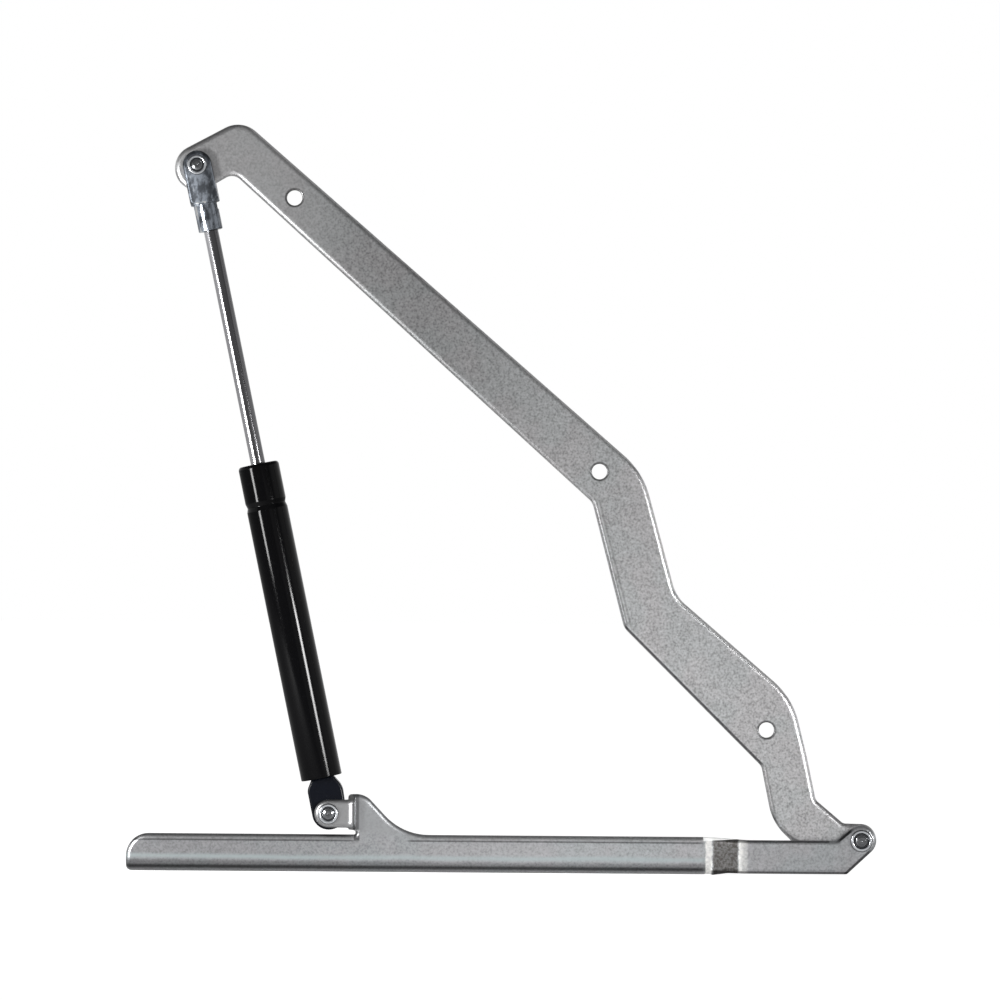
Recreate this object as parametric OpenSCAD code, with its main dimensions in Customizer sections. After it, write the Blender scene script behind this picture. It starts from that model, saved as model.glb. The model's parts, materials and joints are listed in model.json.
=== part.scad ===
// Gas spring lift hinge for a storage bed or box lid, drawn open.
// A stamped base bracket is screwed down through its hidden flange. A cranked
// plate arm turns on the bracket's right end, and a gas spring between the
// bracket's ear and the arm's tip pushes the arm up. Seen from the front, X runs
// to the right, Y away from the viewer and Z up. The origin is the middle of the
// flange's screw line, on the face that lies on the furniture.

/* [Base bracket] */
// Length of the screwed-down flange
flange_len = 323; // [310:1:335]
// Depth of the flange from the bracket's front face to its back edge
flange_depth = 28; // [26:0.5:45]
// Distance from the bracket's front face to the line of screw holes
hole_line = 16; // [12:0.5:18]
// Thickness of the stamped sheet
sheet_t = 4; // [3:0.25:4.5]
// Height of the front leg above the furniture
leg_h = 20.8; // [17:0.2:21]
// Radius of the leg's upper left corner
leg_corner_r = 12.5; // [4:0.5:14]
// Inner radius of the bend between leg and flange
bend_r = 1.2; // [0.5:0.1:3]
// Radius of the flange's back corners
flange_corner_r = 6; // [2:0.5:9]
// Bore of the flange's screw holes
screw_bore = 6.5; // [4:0.1:8]
// Spacing of the outer pair of screw holes
screw_span_outer = 280; // [240:1:290]
// Spacing of the inner pair of screw holes
screw_span_inner = 96; // [60:1:160]

/* [Base joggle] */
// How far the flange runs on past the start of the step
joggle_overlap = 3.9; // [2.5:0.1:8]
// Length of the step
joggle_len = 23.2; // [18:0.1:26]
// How far the right end steps forward
joggle_depth = 6; // [5.5:0.25:8]
// Inner radius of the step's two bends
joggle_r = 6; // [3:0.5:8]
// Lower edge of the right end above the furniture
toe_rise = 0.2; // [0:0.1:4]
// How much lower the right end's top edge lies than the leg's
toe_drop = 1.2; // [0:0.1:3]
// Radius of the right end around the main pivot
toe_r = 8.3; // [7:0.1:9.5]

/* [Ear and web] */
// Height of the web's top above the ear's
web_rise = 2.7; // [1:0.1:8]
// Radius of the ear around its rivet
ear_r = 7.7; // [7:0.1:9]
// Gap between the ear and the leg below it
ear_slot = 4.1; // [3:0.1:5]
// Flat top of the web
web_top = 5; // [2:0.1:10]
// Slope of the web's right side
web_slope = 47; // [35:0.5:60]

/* [Main pivot] */
// Main pivot right of the origin
pivot_x = 242.5; // [236:0.5:260]
// Main pivot above the furniture
pivot_z = 19.8; // [19:0.2:24]
// Rivet shank of the main pivot
pivot_shank = 8; // [6:0.1:9]
// Wall of the bush pressed into the arm
pivot_bush_wall = 1.4; // [0.8:0.1:1.6]
// Spacer between the bracket and the arm
spacer_t = 2; // [1.5:0.1:2.4]
// Washer behind the arm
back_washer_t = 1.5; // [0.8:0.1:3]
// Outside diameter of the spacer and the washer
washer_od = 15.6; // [14:0.2:16.4]
// Outside diameter of the rivet's front head
pivot_head = 13.4; // [12:0.2:15]
// Height of the rivet's front head
pivot_head_h = 2.2; // [1.5:0.1:3]

/* [Lift arm] */
// Thickness of the arm plate
arm_t = 5; // [4:0.25:6]
// How far the tip pin lies left of the main pivot
tip_reach = 367.2; // [355:0.5:380]
// How far the tip pin lies above the main pivot
tip_rise = 368.2; // [355:0.5:380]
// Radius of the arm's round head
head_r = 12.6; // [10:0.1:13]
// How far the middle of the round head lies below the tip pin
head_drop = 1.1; // [0:0.1:2]
// Radius of the arm's foot around the main pivot
foot_r = 8.6; // [8:0.1:9.5]
// Bore of the three fixing holes
arm_bore = 8.5; // [6:0.1:10]
// Width of the rounding along the plate's edges
edge_w = 2.2; // [0.6:0.1:2.5]
// Depth of the rounding along the plate's edges
edge_d = 1.7; // [0.5:0.1:1.9]

/* [Gas spring] */
// Ear rivet left of the origin
ear_x = 50; // [40:0.5:60]
// Outside diameter of the tube
tube_od = 22.6; // [18:0.2:23]
// Wall of the tube
tube_wall = 1.2; // [0.8:0.1:1.6]
// Length of the tube
tube_len = 176; // [165:0.5:180]
// Length of the seal pack held in the tube's mouth
seal_pack = 21.8; // [20:0.1:24]
// Depth of the crimped groove below the seal pack
groove_depth = 0.6; // [0.3:0.05:0.8]
// Diameter of the piston rod
rod_d = 8; // [6:0.5:8]
// Length of the piston
piston_len = 8; // [6:0.5:9]

/* [Spring ends] */
// Distance from the ear rivet to the tube's lower end
eye_len = 19.8; // [19:0.1:22]
// Radius of the eye around its rivet
eye_r = 9.1; // [8:0.1:9.2]
// Thickness of the eye
eye_t = 10; // [9:0.25:12]
// Width of the eye's neck where it meets the tube
eye_neck = 11.4; // [10:0.2:14]
// Rivet shank of the ear
ear_shank = 6; // [4:0.1:7]
// Outside diameter of the ear rivet's head
ear_head = 11.4; // [10:0.2:13]
// Wall of the bush in the eye
eye_bush_wall = 1.1; // [0.6:0.1:1.5]
// Thin washer between the ear and the eye
ear_washer_t = 0.5; // [0.3:0.05:1]
// Distance from the tip pin to the end of the fork's neck
fork_len = 36.5; // [33:0.5:38]
// Width of the fork's block
fork_w = 15.8; // [13:0.2:17]
// Depth of the fork's block, front to back
fork_depth = 15; // [13:0.5:18]
// Distance from the tip pin to the lower end of the fork's block
fork_block = 21.5; // [20:0.5:24]
// Thickness of the block below the fork's slot
fork_floor = 1.5; // [1:0.1:2.5]
// Diameter of the fork's neck
fork_neck = 13.4; // [11:0.2:14.4]
// Shank of the tip pin
tip_shank = 7; // [5:0.1:8]
// Outside diameter of the tip pin's head
tip_head = 11; // [10:0.2:12.6]

/* [Hidden] */
$fn = 72;

// Side play of a joint, radial gap of a running fit, and side play in the fork
play = 0.1;
fit = 0.05;
fork_play = 0.3;
// Overrun of a cut, smallest corner radius, and steps of an arc and of an edge
bite = 1;
tiny = 0.05;
arc_steps = 8;
edge_steps = 4;

// Y of each layer, worked back from the bracket's front face
front_y = -hole_line;
leg_mid_y = front_y + sheet_t / 2;
toe_front_y = front_y - joggle_depth;
toe_mid_y = toe_front_y + sheet_t / 2;
toe_back_y = toe_front_y + sheet_t;
arm_front_y = toe_back_y + spacer_t + play;
arm_mid_y = arm_front_y + arm_t / 2;
arm_back_y = arm_front_y + arm_t;
ear_back_y = arm_mid_y - eye_t / 2 - play - ear_washer_t;
ear_mid_y = ear_back_y - sheet_t / 2;
ear_front_y = ear_back_y - sheet_t;
eye_back_y = arm_mid_y + eye_t / 2;

// Places seen from the front, as [x, z]
pivot_at = [pivot_x, pivot_z];
ear_at = [-ear_x, leg_h + ear_slot + ear_r];
tip_at = pivot_at + [-tip_reach, tip_rise];
spring_vector = tip_at - ear_at;
spring_len = norm(spring_vector);
spring_lean = 90 - atan2(spring_vector[1], spring_vector[0]);

// Outline of the bracket
base_left = -flange_len / 2;
base_right = flange_len / 2;
joggle_x = base_right - joggle_overlap;
joggle_end = joggle_x + joggle_len;
joggle_inset = 3;
toe_top = leg_h - toe_drop;
toe_upper_angle = 136;
toe_lower_angle = -47;
sheet_mid_r = bend_r + sheet_t / 2;

// The ear steps forward in two bends, whose inside clears the eye's front corner
ear_step = leg_mid_y - ear_mid_y;
ear_bend_in = (ear_step - sheet_t) / 2;
eye_step = ear_bend_in - play - ear_washer_t;
eye_gap = ear_bend_in - sqrt(pow(ear_bend_in - play, 2) - pow(eye_step, 2));
ear_bend_x = -ear_x + eye_r + eye_gap + sheet_t / 2;
ear_top = ear_at[1] + ear_r;
ear_crest_r = 4;
web_x = ear_bend_x + ear_step / 2;
web_h = ear_top + web_rise;
web_foot_x = web_x + web_top + (web_h - leg_h) / tan(web_slope);
web_corner_r = 2;
web_crest_r = min(11, (web_top + bite - web_corner_r / 2) / tan(web_slope / 2));
web_valley_r = min(33, (web_h - leg_h) / sin(web_slope) / tan(web_slope / 2) - web_crest_r - tiny);

// Rivets: profiles as shares of the head's radius and height
coined_profile = [[0, 0], [1, 0], [1, 0.55], [0.92, 0.9], [0.83, 1], [0.76, 0.9], [0.6, 0.38],
    [0.56, 0.38], [0.5, 0.75], [0.34, 0.98], [0.17, 0.98], [0, 0.7]];
pressed_profile = [[0, 0], [1, 0], [1, 0.4], [0.72, 1], [0, 1]];
small_head_h = 1.8;
ear_washer_r = ear_r - 0.5;

// Fixing holes of the arm, from the main pivot
arm_holes = [[-313.7, 350.8], [-145, 201.5], [-52.2, 60.1]];

// Corners of the arm as [x, z, radius], from the main pivot. The upper edge runs
// from the foot to the head, and the lower edge runs back from the head.
arm_upper = [
    [-9.5, foot_r + 0.4, 4],
    [-24.7, 21.8, 5],
    [-29.9, 46, 60],
    [-37.9, 78, 43],
    [-102.4, 133.3, 22],
    [-121, 201.4, 45]];
arm_lower = [
    [-148.7, 184.5, 9],
    [-130.8, 115.6, 10],
    [-54.8, 40.2, 6],
    [-48.5, 9.2, 30],
    [-36, -2.7, 10],
    [-26, -foot_r, 12]];
// The head's apex and the notch below it, from the tip pin
head_apex = [24.1, 25.8, 15];
head_notch = [19.7, -4.1, 6.4];
// Directions in which the head's two straight sides leave its round end
head_upper_angle = 119;
head_lower_angle = 300;

// Spring lengths along its axis, from the ear rivet
tube_start = eye_len;
tube_end = tube_start + tube_len;
tube_r = tube_od / 2;
bore_r = tube_r - tube_wall;
rod_r = rod_d / 2;
lip_t = tube_wall;
shoulder_r = 2;
tube_edge = 0.4;
mouth_r = rod_r + 2.6;
pack_top = tube_end - lip_t;
pack_base = tube_end - seal_pack;
groove_half = 1.2;
groove_mid = pack_base - groove_half - play;
fork_end = spring_len - fork_len;
pack_fit_r = bore_r - fit;
rod_fit_r = rod_r + fit;
guide_len = 8;
seal_len = 6;
support_len = 2.4;
guide_base = pack_top - fit - guide_len;
seal_base = guide_base - seal_len;
support_base = seal_base - support_len;
sleeve_r = rod_r + 2;
ring_section = 0.9;

// The piston hangs below the groove when the spring is extended
rebound_t = 0.8;
spigot_r = 2.5;
spigot_end = 1;
thread_r = 3;
thread_len = fork_len - fork_block - fork_floor;
piston_top = groove_mid - groove_half - play - rebound_t;
piston_base = piston_top - piston_len;
nut_h = 3;
nut_af = 8;
rod_tail = piston_base - nut_h - spigot_end;
piston_r = bore_r - 0.45;
rebound_r = piston_r - 1;
piston_ring_h = 2.4;
piston_ring_t = 1.4;
passages = 3;
passage_r = 0.6;

plug_base = tube_start + 0.3;
plug_len = 3;
stud_len = 9;

// The eye's shoulder is a corner [along the spring, beyond the eye's radius]
eye_shoulder = [10, 0.8];
eye_shoulder_r = 9;
eye_bush_r = ear_shank / 2 + fit + eye_bush_wall;
pivot_bush_r = pivot_shank / 2 + fit + pivot_bush_wall;
tip_bush_wall = 1;
tip_bush_r = tip_shank / 2 + fit + tip_bush_wall;

// The floor of the fork's slot falls away on the side where the arm swings in
slot_half = arm_t / 2 + fork_play;
fork_edge = 1.6;
fork_corner = 1;
relief_x = 1.2;
relief_drop = 7;

// Plane geometry

function unit(v) = v / norm(v);
function left_of(v) = [-v[1], v[0]];
function plane(c) = [c[0], c[1]];
function heading(a) = [cos(a), sin(a)];

// Corner b of the path a, b, c, moved by d to the left of both its edges
function shifted(a, b, c, d) =
    let (n1 = left_of(unit(b - a)), n2 = left_of(unit(c - b)))
    b + (n1 + n2) * d / (1 + n1 * n2);

// Arc of radius r that rounds corner b between the directions u and v
function corner_arc(b, u, v, r) =
    let (half = acos(u * v) / 2,
        centre = b + unit(u + v) * r / sin(half),
        from = b + u * r / tan(half) - centre,
        to = b + v * r / tan(half) - centre,
        start = atan2(from[1], from[0]),
        sweep = (atan2(to[1], to[0]) - start + 540) % 360 - 180)
    [for (k = [0:arc_steps]) centre + r * heading(start + sweep * k / arc_steps)];

// Closed outline of [x, y, radius] corners, drawn in by d
function rounded(corners, d = 0) =
    let (n = len(corners))
    [for (i = [0:n - 1])
        let (a = plane(corners[(i + n - 1) % n]),
            b = plane(corners[i]),
            c = plane(corners[(i + 1) % n]),
            turn = sign(cross(b - a, c - b)),
            r = max(corners[i][2] - turn * d, tiny))
        each corner_arc(shifted(a, b, c, d), unit(a - b), unit(c - b), r)];

// One side of a bent sheet: the path's corners moved d to the left
function sheet_side(path, d) =
    let (last = len(path) - 1)
    [for (i = [0:last])
        let (b = plane(path[i]),
            a = i > 0 ? plane(path[i - 1]) : 2 * b - plane(path[1]),
            c = i < last ? plane(path[i + 1]) : 2 * b - plane(path[last - 1]),
            turn = sign(cross(b - a, c - b)),
            p = shifted(a, b, c, d))
        [p[0], p[1], i > 0 && i < last ? path[i][2] - turn * d : tiny]];

// Outline of a sheet of thickness t that follows a path of its middle
function bent_sheet(path, t) =
    let (low = sheet_side(path, -t / 2), high = sheet_side(path, t / 2), n = len(path))
    rounded(concat(low, [for (i = [n - 1:-1:0]) high[i]]));

// Two corners whose rounding makes the round end between two tangents
function round_end(at, r, from, to) =
    let (half = (to - from) / 4, reach = r / cos(half))
    [for (k = [1, 3]) let (p = at + reach * heading(from + k * half)) [p[0], p[1], r]];

// Solids that several parts share

// Prism of a front view outline, between two values of Y
module front_prism(from, to) {
    translate([0, to, 0])
        rotate([90, 0, 0])
            linear_extrude(to - from)
                children();
}

// Prism of an outline drawn in Y and Z, between two values of X
module side_prism(from, to) {
    translate([from, 0, 0])
        rotate([90, 0, 90])
            linear_extrude(to - from)
                children();
}

// Round bar along Y
module cross_bar(at, r, from, to) {
    translate([at[0], from, at[1]])
        rotate([-90, 0, 0])
            cylinder(r = r, h = to - from);
}

// Ring along Y
module cross_ring(at, r, bore, from, to) {
    difference() {
        cross_bar(at, r, from, to);
        cross_bar(at, bore, from - bite, to + bite);
    }
}

// Ring along Z
module ring(r, bore, from, to) {
    translate([0, 0, from])
        difference() {
            cylinder(r = r, h = to - from);
            translate([0, 0, -bite])
                cylinder(r = bore, h = to - from + 2 * bite);
        }
}

// Coined rivet head that faces the viewer: a rim, a groove and a domed middle
module coined_head(at, y, r, h) {
    translate([at[0], y, at[1]])
        rotate([90, 0, 0])
            rotate_extrude()
                polygon([for (p = coined_profile) [p[0] * r, p[1] * h]]);
}

// Flat-topped rivet tail that faces away from the viewer
module pressed_tail(at, y, r, h) {
    translate([at[0], y, at[1]])
        rotate([-90, 0, 0])
            rotate_extrude()
                polygon([for (p = pressed_profile) [p[0] * r, p[1] * h]]);
}

// Puts what is drawn along Z from the ear rivet onto the spring's axis
module on_spring() {
    translate([ear_at[0], arm_mid_y, ear_at[1]])
        rotate([0, spring_lean, 0])
            children();
}

// Plate between two values of Y with elliptically rounded edges. The outline's
// first half faces its second half across the plate, corner by corner, so each
// flat face is a row of triangles from one half to the other.
module rounded_plate(corners, from, to) {
    side = [for (k = [0:edge_steps])
        let (a = 90 * k / edge_steps) [edge_w * (1 - sin(a)), edge_d * (1 - cos(a))]];
    rings = concat([for (s = side) [s[0], from + s[1]]],
        [for (k = [edge_steps:-1:0]) [side[k][0], to - side[k][1]]]);
    n = len(rounded(corners));
    last = len(rings) - 1;
    points = [for (s = rings) each [for (p = rounded(corners, s[0])) [p[0], s[1], p[1]]]];
    walls = [for (k = [0:last - 1], i = [0:n - 1])
        let (j = (i + 1) % n, a = k * n, b = a + n)
        each [[a + i, a + j, b + j], [a + i, b + j, b + i]]];
    across = [for (i = [0:n / 2 - 2])
        let (j = n - 1 - i)
        each [[i, j - 1, i + 1], [i, j, j - 1]]];
    behind = [for (f = across) [f[0] + last * n, f[2] + last * n, f[1] + last * n]];
    polyhedron(points, concat(walls, across, behind), convexity = 12);
}

// Base bracket, stamped in one piece

// Front view of the leg, with its rounded left corner
module leg_outline() {
    polygon(rounded([[base_left, 0, tiny], [base_right, 0, tiny], [base_right, leg_h, tiny],
        [base_left, leg_h, leg_corner_r]]));
}

// Front view of the right end, which holds the main pivot
module toe_outline() {
    start = joggle_x - 2 * bite;
    upper = pivot_at + toe_r * heading(toe_upper_angle);
    lower = pivot_at + toe_r * heading(toe_lower_angle);
    run_up = (upper[1] - toe_top) / tan(toe_upper_angle - 90);
    run_down = (lower[1] - toe_rise) / tan(toe_lower_angle + 90);
    translate(pivot_at)
        circle(toe_r);
    polygon([[start, 0], [joggle_x + sheet_t, 0], [joggle_x + joggle_len / 2, toe_rise],
        [lower[0] - run_down, toe_rise], lower, pivot_at, upper,
        [upper[0] - run_up, toe_top], [joggle_end, toe_top], [joggle_x, leg_h],
        [start, leg_h]]);
}

// Front view of the web and the ear
module web_outline() {
    low = leg_h - sheet_t;
    polygon(rounded([[web_x - bite, low, tiny], [web_foot_x + web_valley_r, low, tiny],
        [web_foot_x + web_valley_r, leg_h, tiny], [web_foot_x, leg_h, web_valley_r],
        [web_x + web_top, web_h, web_crest_r], [web_x - bite, web_h, web_corner_r],
        [ear_bend_x - ear_step / 2, ear_top, ear_crest_r], [-ear_x, ear_top, tiny],
        [-ear_x, leg_h + ear_slot, tiny], [web_x - bite, leg_h + ear_slot, tiny]]));
    translate(ear_at)
        circle(ear_r);
}

// Plan of the web, and of the ear stepped forward from it
module ear_plan() {
    polygon(bent_sheet([[-ear_x - ear_r - bite, ear_mid_y, 0],
        [ear_bend_x, ear_mid_y, ear_step / 2], [ear_bend_x, leg_mid_y, ear_step / 2],
        [web_foot_x + web_valley_r, leg_mid_y, 0]], sheet_t));
}

// Plan of the right end, stepped forward from the leg
module toe_plan() {
    r = joggle_r + sheet_t / 2;
    polygon(bent_sheet([[joggle_x - 2 * bite, leg_mid_y, 0],
        [joggle_x + joggle_inset, leg_mid_y, r], [joggle_end - joggle_inset, toe_mid_y, r],
        [pivot_x + toe_r + bite, toe_mid_y, 0]], sheet_t));
}

// Leg and flange, seen from the right
module angle_section() {
    polygon(bent_sheet([[leg_mid_y, leg_h, 0], [leg_mid_y, sheet_t / 2, sheet_mid_r],
        [front_y + flange_depth, sheet_t / 2, 0]], sheet_t));
}

// Plan of the flange, with its rounded back corners
module flange_plan() {
    back = front_y + flange_depth;
    polygon(rounded([[base_left, toe_front_y, tiny], [base_right, toe_front_y, tiny],
        [base_right, back, flange_corner_r], [base_left, back, flange_corner_r]]));
}

module base_bracket() {
    deep = flange_depth + joggle_depth;
    color([0.70, 0.71, 0.72])
        difference() {
            union() {
                intersection() {
                    side_prism(base_left, base_right)
                        angle_section();
                    front_prism(toe_front_y, front_y + deep)
                        leg_outline();
                    linear_extrude(leg_h)
                        flange_plan();
                }
                intersection() {
                    front_prism(toe_front_y - bite, front_y + deep)
                        toe_outline();
                    linear_extrude(pivot_z + 2 * toe_r)
                        toe_plan();
                }
                intersection() {
                    front_prism(ear_front_y - bite, front_y + deep)
                        web_outline();
                    linear_extrude(web_h)
                        ear_plan();
                }
            }
            cross_bar(pivot_at, pivot_shank / 2 + fit, toe_front_y - bite, toe_back_y + bite);
            cross_bar(ear_at, ear_shank / 2 + fit, ear_front_y - bite, ear_back_y + bite);
            cross_bar([web_x, leg_h + ear_slot / 2], ear_slot / 2,
                front_y - bite, front_y + sheet_t + bite);
            for (span = [screw_span_outer, screw_span_inner], side = [-1, 1])
                translate([side * span / 2, 0, -bite])
                    cylinder(d = screw_bore, h = sheet_t + 2 * bite);
        }
}

// Main pivot

module pivot_rivet() {
    tail_y = arm_back_y + play + back_washer_t;
    color([0.62, 0.63, 0.65]) {
        coined_head(pivot_at, toe_front_y, pivot_head / 2, pivot_head_h);
        cross_bar(pivot_at, pivot_shank / 2, toe_front_y - tiny, tail_y + tiny);
        pressed_tail(pivot_at, tail_y, pivot_head / 2, pivot_head_h);
    }
}

module pivot_spacer() {
    color([0.72, 0.72, 0.70])
        cross_ring(pivot_at, washer_od / 2, pivot_shank / 2 + fit, toe_back_y, toe_back_y + spacer_t);
}

module pivot_back_washer() {
    from = arm_back_y + play;
    color([0.72, 0.72, 0.70])
        cross_ring(pivot_at, washer_od / 2, pivot_shank / 2 + fit, from, from + back_washer_t);
}

// Bush pressed into the arm, which turns on the rivet
module pivot_bush() {
    color([0.72, 0.55, 0.30])
        cross_ring(pivot_at, pivot_bush_r, pivot_shank / 2 + fit, arm_front_y, arm_back_y);
}

// Ear joint

module ear_rivet() {
    tail_y = eye_back_y + play + back_washer_t;
    color([0.62, 0.63, 0.65]) {
        coined_head(ear_at, ear_front_y, ear_head / 2, small_head_h);
        cross_bar(ear_at, ear_shank / 2, ear_front_y - tiny, tail_y + tiny);
        pressed_tail(ear_at, tail_y, ear_head / 2, small_head_h);
    }
}

module ear_front_washer() {
    color([0.85, 0.84, 0.80])
        cross_ring(ear_at, ear_washer_r, ear_shank / 2 + fit, ear_back_y, ear_back_y + ear_washer_t);
}

module ear_back_washer() {
    from = eye_back_y + play;
    color([0.72, 0.72, 0.70])
        cross_ring(ear_at, ear_washer_r, ear_shank / 2 + fit, from, from + back_washer_t);
}

// Lift arm

// Corners of the arm: the upper edge from foot to head, then the lower edge back.
// Both edges have as many corners, so each one has its partner across the plate.
function arm_corners() =
    let (foot = round_end(pivot_at, foot_r, -90, 90))
    concat(
        [foot[1]],
        [for (c = arm_upper) [pivot_x + c[0], pivot_z + c[1], c[2]]],
        [[tip_at[0] + head_apex[0], tip_at[1] + head_apex[1], head_apex[2]]],
        round_end(tip_at - [0, head_drop], head_r, head_upper_angle, head_lower_angle),
        [[tip_at[0] + head_notch[0], tip_at[1] + head_notch[1], head_notch[2]]],
        [for (c = arm_lower) [pivot_x + c[0], pivot_z + c[1], c[2]]],
        [foot[0]]);

module lift_arm() {
    color([0.60, 0.61, 0.62])
        difference() {
            rounded_plate(arm_corners(), arm_front_y, arm_back_y);
            for (hole = arm_holes)
                cross_bar(pivot_at + hole, arm_bore / 2, arm_front_y - bite, arm_back_y + bite);
            cross_bar(pivot_at, pivot_bush_r + fit, arm_front_y - bite, arm_back_y + bite);
            cross_bar(tip_at, tip_bush_r + fit, arm_front_y - bite, arm_back_y + bite);
        }
}

module tip_bush() {
    color([0.72, 0.55, 0.30])
        cross_ring(tip_at, tip_bush_r, tip_shank / 2 + fit, arm_front_y, arm_back_y);
}

// Middle length of the tip pin, which stays with the arm
module tip_pin_core() {
    color([0.62, 0.63, 0.65])
        cross_bar(tip_at, tip_shank / 2, arm_front_y, arm_back_y);
}

// Gas spring, cylinder side

// Tube with a rolled lip at its mouth and a crimped groove below the seal pack
module cylinder_tube() {
    mouth = [for (k = [0:arc_steps]) let (a = 90 * k / arc_steps)
        [tube_r - shoulder_r * (1 - cos(a)), tube_end - shoulder_r * (1 - sin(a))]];
    dent = [for (k = [0:arc_steps]) let (a = 180 * k / arc_steps)
        [groove_depth * sin(a), groove_mid - groove_half * cos(a)]];
    color([0.05, 0.05, 0.055])
        on_spring()
            rotate_extrude()
                polygon(concat(
                    [[bore_r, tube_start], [tube_r - tube_edge, tube_start],
                        [tube_r, tube_start + tube_edge]],
                    [for (d = dent) [tube_r - d[0], d[1]]],
                    mouth,
                    [[mouth_r, tube_end], [mouth_r, pack_top], [bore_r, pack_top]],
                    [for (k = [arc_steps:-1:0]) [bore_r - dent[k][0], dent[k][1]]]));
}

// Plug that closes the tube, with the stud that carries the eye
module end_plug() {
    color([0.45, 0.46, 0.48])
        on_spring() {
            translate([0, 0, plug_base])
                cylinder(r = pack_fit_r, h = plug_len);
            translate([0, 0, plug_base - stud_len])
                cylinder(r = thread_r, h = stud_len + tiny);
        }
}

// Flat eye with rounded shoulders that taper to the tube
module lower_eye() {
    neck = eye_neck / 2;
    wide = eye_r + eye_shoulder[1];
    color([0.07, 0.08, 0.10])
        on_spring()
            difference() {
                union() {
                    cross_bar([0, 0], eye_r, -eye_t / 2, eye_t / 2);
                    front_prism(-eye_t / 2, eye_t / 2)
                        polygon(rounded([[-eye_r, 0, tiny], [eye_r, 0, tiny],
                            [wide, eye_shoulder[0], eye_shoulder_r], [neck, eye_len, tiny],
                            [-neck, eye_len, tiny], [-wide, eye_shoulder[0], eye_shoulder_r]]));
                }
                cross_bar([0, 0], eye_bush_r + fit, -eye_t / 2 - bite, eye_t / 2 + bite);
                translate([0, 0, plug_base - stud_len - fit])
                    cylinder(r = thread_r + fit, h = stud_len + bite);
            }
}

module eye_bush() {
    color([0.72, 0.55, 0.30])
        cross_ring(ear_at, eye_bush_r, ear_shank / 2 + fit, arm_mid_y - eye_t / 2, eye_back_y);
}

// Guide that steadies the rod in the tube's mouth, grooved for its ring
module rod_guide() {
    mid = guide_base + guide_len / 2;
    half = ring_section + fit;
    deep = pack_fit_r - 2 * ring_section;
    color([0.78, 0.62, 0.32])
        on_spring()
            rotate_extrude()
                polygon([[rod_fit_r, guide_base], [pack_fit_r, guide_base],
                    [pack_fit_r, mid - half], [deep, mid - half], [deep, mid + half],
                    [pack_fit_r, mid + half], [pack_fit_r, guide_base + guide_len],
                    [rod_fit_r, guide_base + guide_len]]);
}

module guide_ring() {
    color([0.08, 0.08, 0.08])
        on_spring()
            translate([0, 0, guide_base + guide_len / 2])
                rotate_extrude()
                    translate([pack_fit_r - ring_section + fit / 2, 0])
                        circle(ring_section - fit / 2);
}

// Lip seal, hollowed on the gas side
module rod_seal() {
    lip = (pack_fit_r - rod_fit_r) / 5;
    color([0.10, 0.10, 0.11])
        on_spring()
            rotate_extrude()
                polygon([[rod_fit_r, seal_base], [rod_fit_r + lip, seal_base],
                    [rod_fit_r + 2 * lip, seal_base + seal_len / 2],
                    [pack_fit_r - lip, seal_base + seal_len / 2], [pack_fit_r - lip / 2, seal_base],
                    [pack_fit_r, seal_base], [pack_fit_r, guide_base], [rod_fit_r, guide_base]]);
}

module seal_support() {
    color([0.55, 0.56, 0.58])
        on_spring()
            ring(pack_fit_r, rod_fit_r, support_base, seal_base);
}

// Sleeve that rests on the groove and keeps the pack up
module spacer_sleeve() {
    color([0.30, 0.31, 0.33])
        on_spring()
            ring(pack_fit_r, sleeve_r, pack_base, support_base);
}

// Gas spring, rod side

module piston_rod() {
    color([0.86, 0.87, 0.88])
        on_spring() {
            translate([0, 0, rod_tail])
                cylinder(r = spigot_r, h = piston_top - rod_tail + tiny);
            translate([0, 0, piston_top])
                cylinder(r = rod_r, h = fork_end - piston_top);
            translate([0, 0, fork_end - tiny])
                cylinder(r = thread_r, h = thread_len + tiny);
        }
}

// Thin disc between the piston and the groove
module rebound_washer() {
    color([0.55, 0.56, 0.58])
        on_spring()
            ring(rebound_r, rod_fit_r, piston_top, piston_top + rebound_t);
}

// Piston with a ring groove and three small gas passages
module piston() {
    mid = piston_base + piston_len / 2;
    half = piston_ring_h / 2 + fit;
    color([0.60, 0.61, 0.64])
        on_spring()
            difference() {
                rotate_extrude()
                    polygon([[spigot_r + fit, piston_base], [piston_r, piston_base],
                        [piston_r, mid - half], [piston_r - piston_ring_t, mid - half],
                        [piston_r - piston_ring_t, mid + half], [piston_r, mid + half],
                        [piston_r, piston_top], [spigot_r + fit, piston_top]]);
                for (k = [0:passages - 1])
                    rotate([0, 0, 360 * k / passages])
                        translate([(spigot_r + piston_r) / 2, 0, piston_base - bite])
                            cylinder(r = passage_r, h = piston_len + 2 * bite);
            }
}

module piston_ring() {
    mid = piston_base + piston_len / 2;
    color([0.12, 0.12, 0.13])
        on_spring()
            ring(bore_r - fit, piston_r - piston_ring_t + fit, mid - piston_ring_h / 2,
                mid + piston_ring_h / 2);
}

module piston_nut() {
    color([0.66, 0.67, 0.68])
        on_spring()
            translate([0, 0, piston_base - nut_h])
                difference() {
                    cylinder(d = nut_af / cos(30), h = nut_h, $fn = 6);
                    translate([0, 0, -bite])
                        cylinder(r = spigot_r + fit, h = nut_h + 2 * bite);
                }
}

// Front view of the fork's slot, with the relief in its floor
module slot_outline() {
    floor = spring_len - fork_block + fork_floor;
    side = fork_w / 2 + bite;
    top = spring_len + fork_w;
    polygon([[-side, floor], [relief_x, floor], [side, floor - relief_drop * (side - relief_x)
        / (fork_w / 2 - relief_x)], [side, top], [-side, top]]);
}

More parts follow.
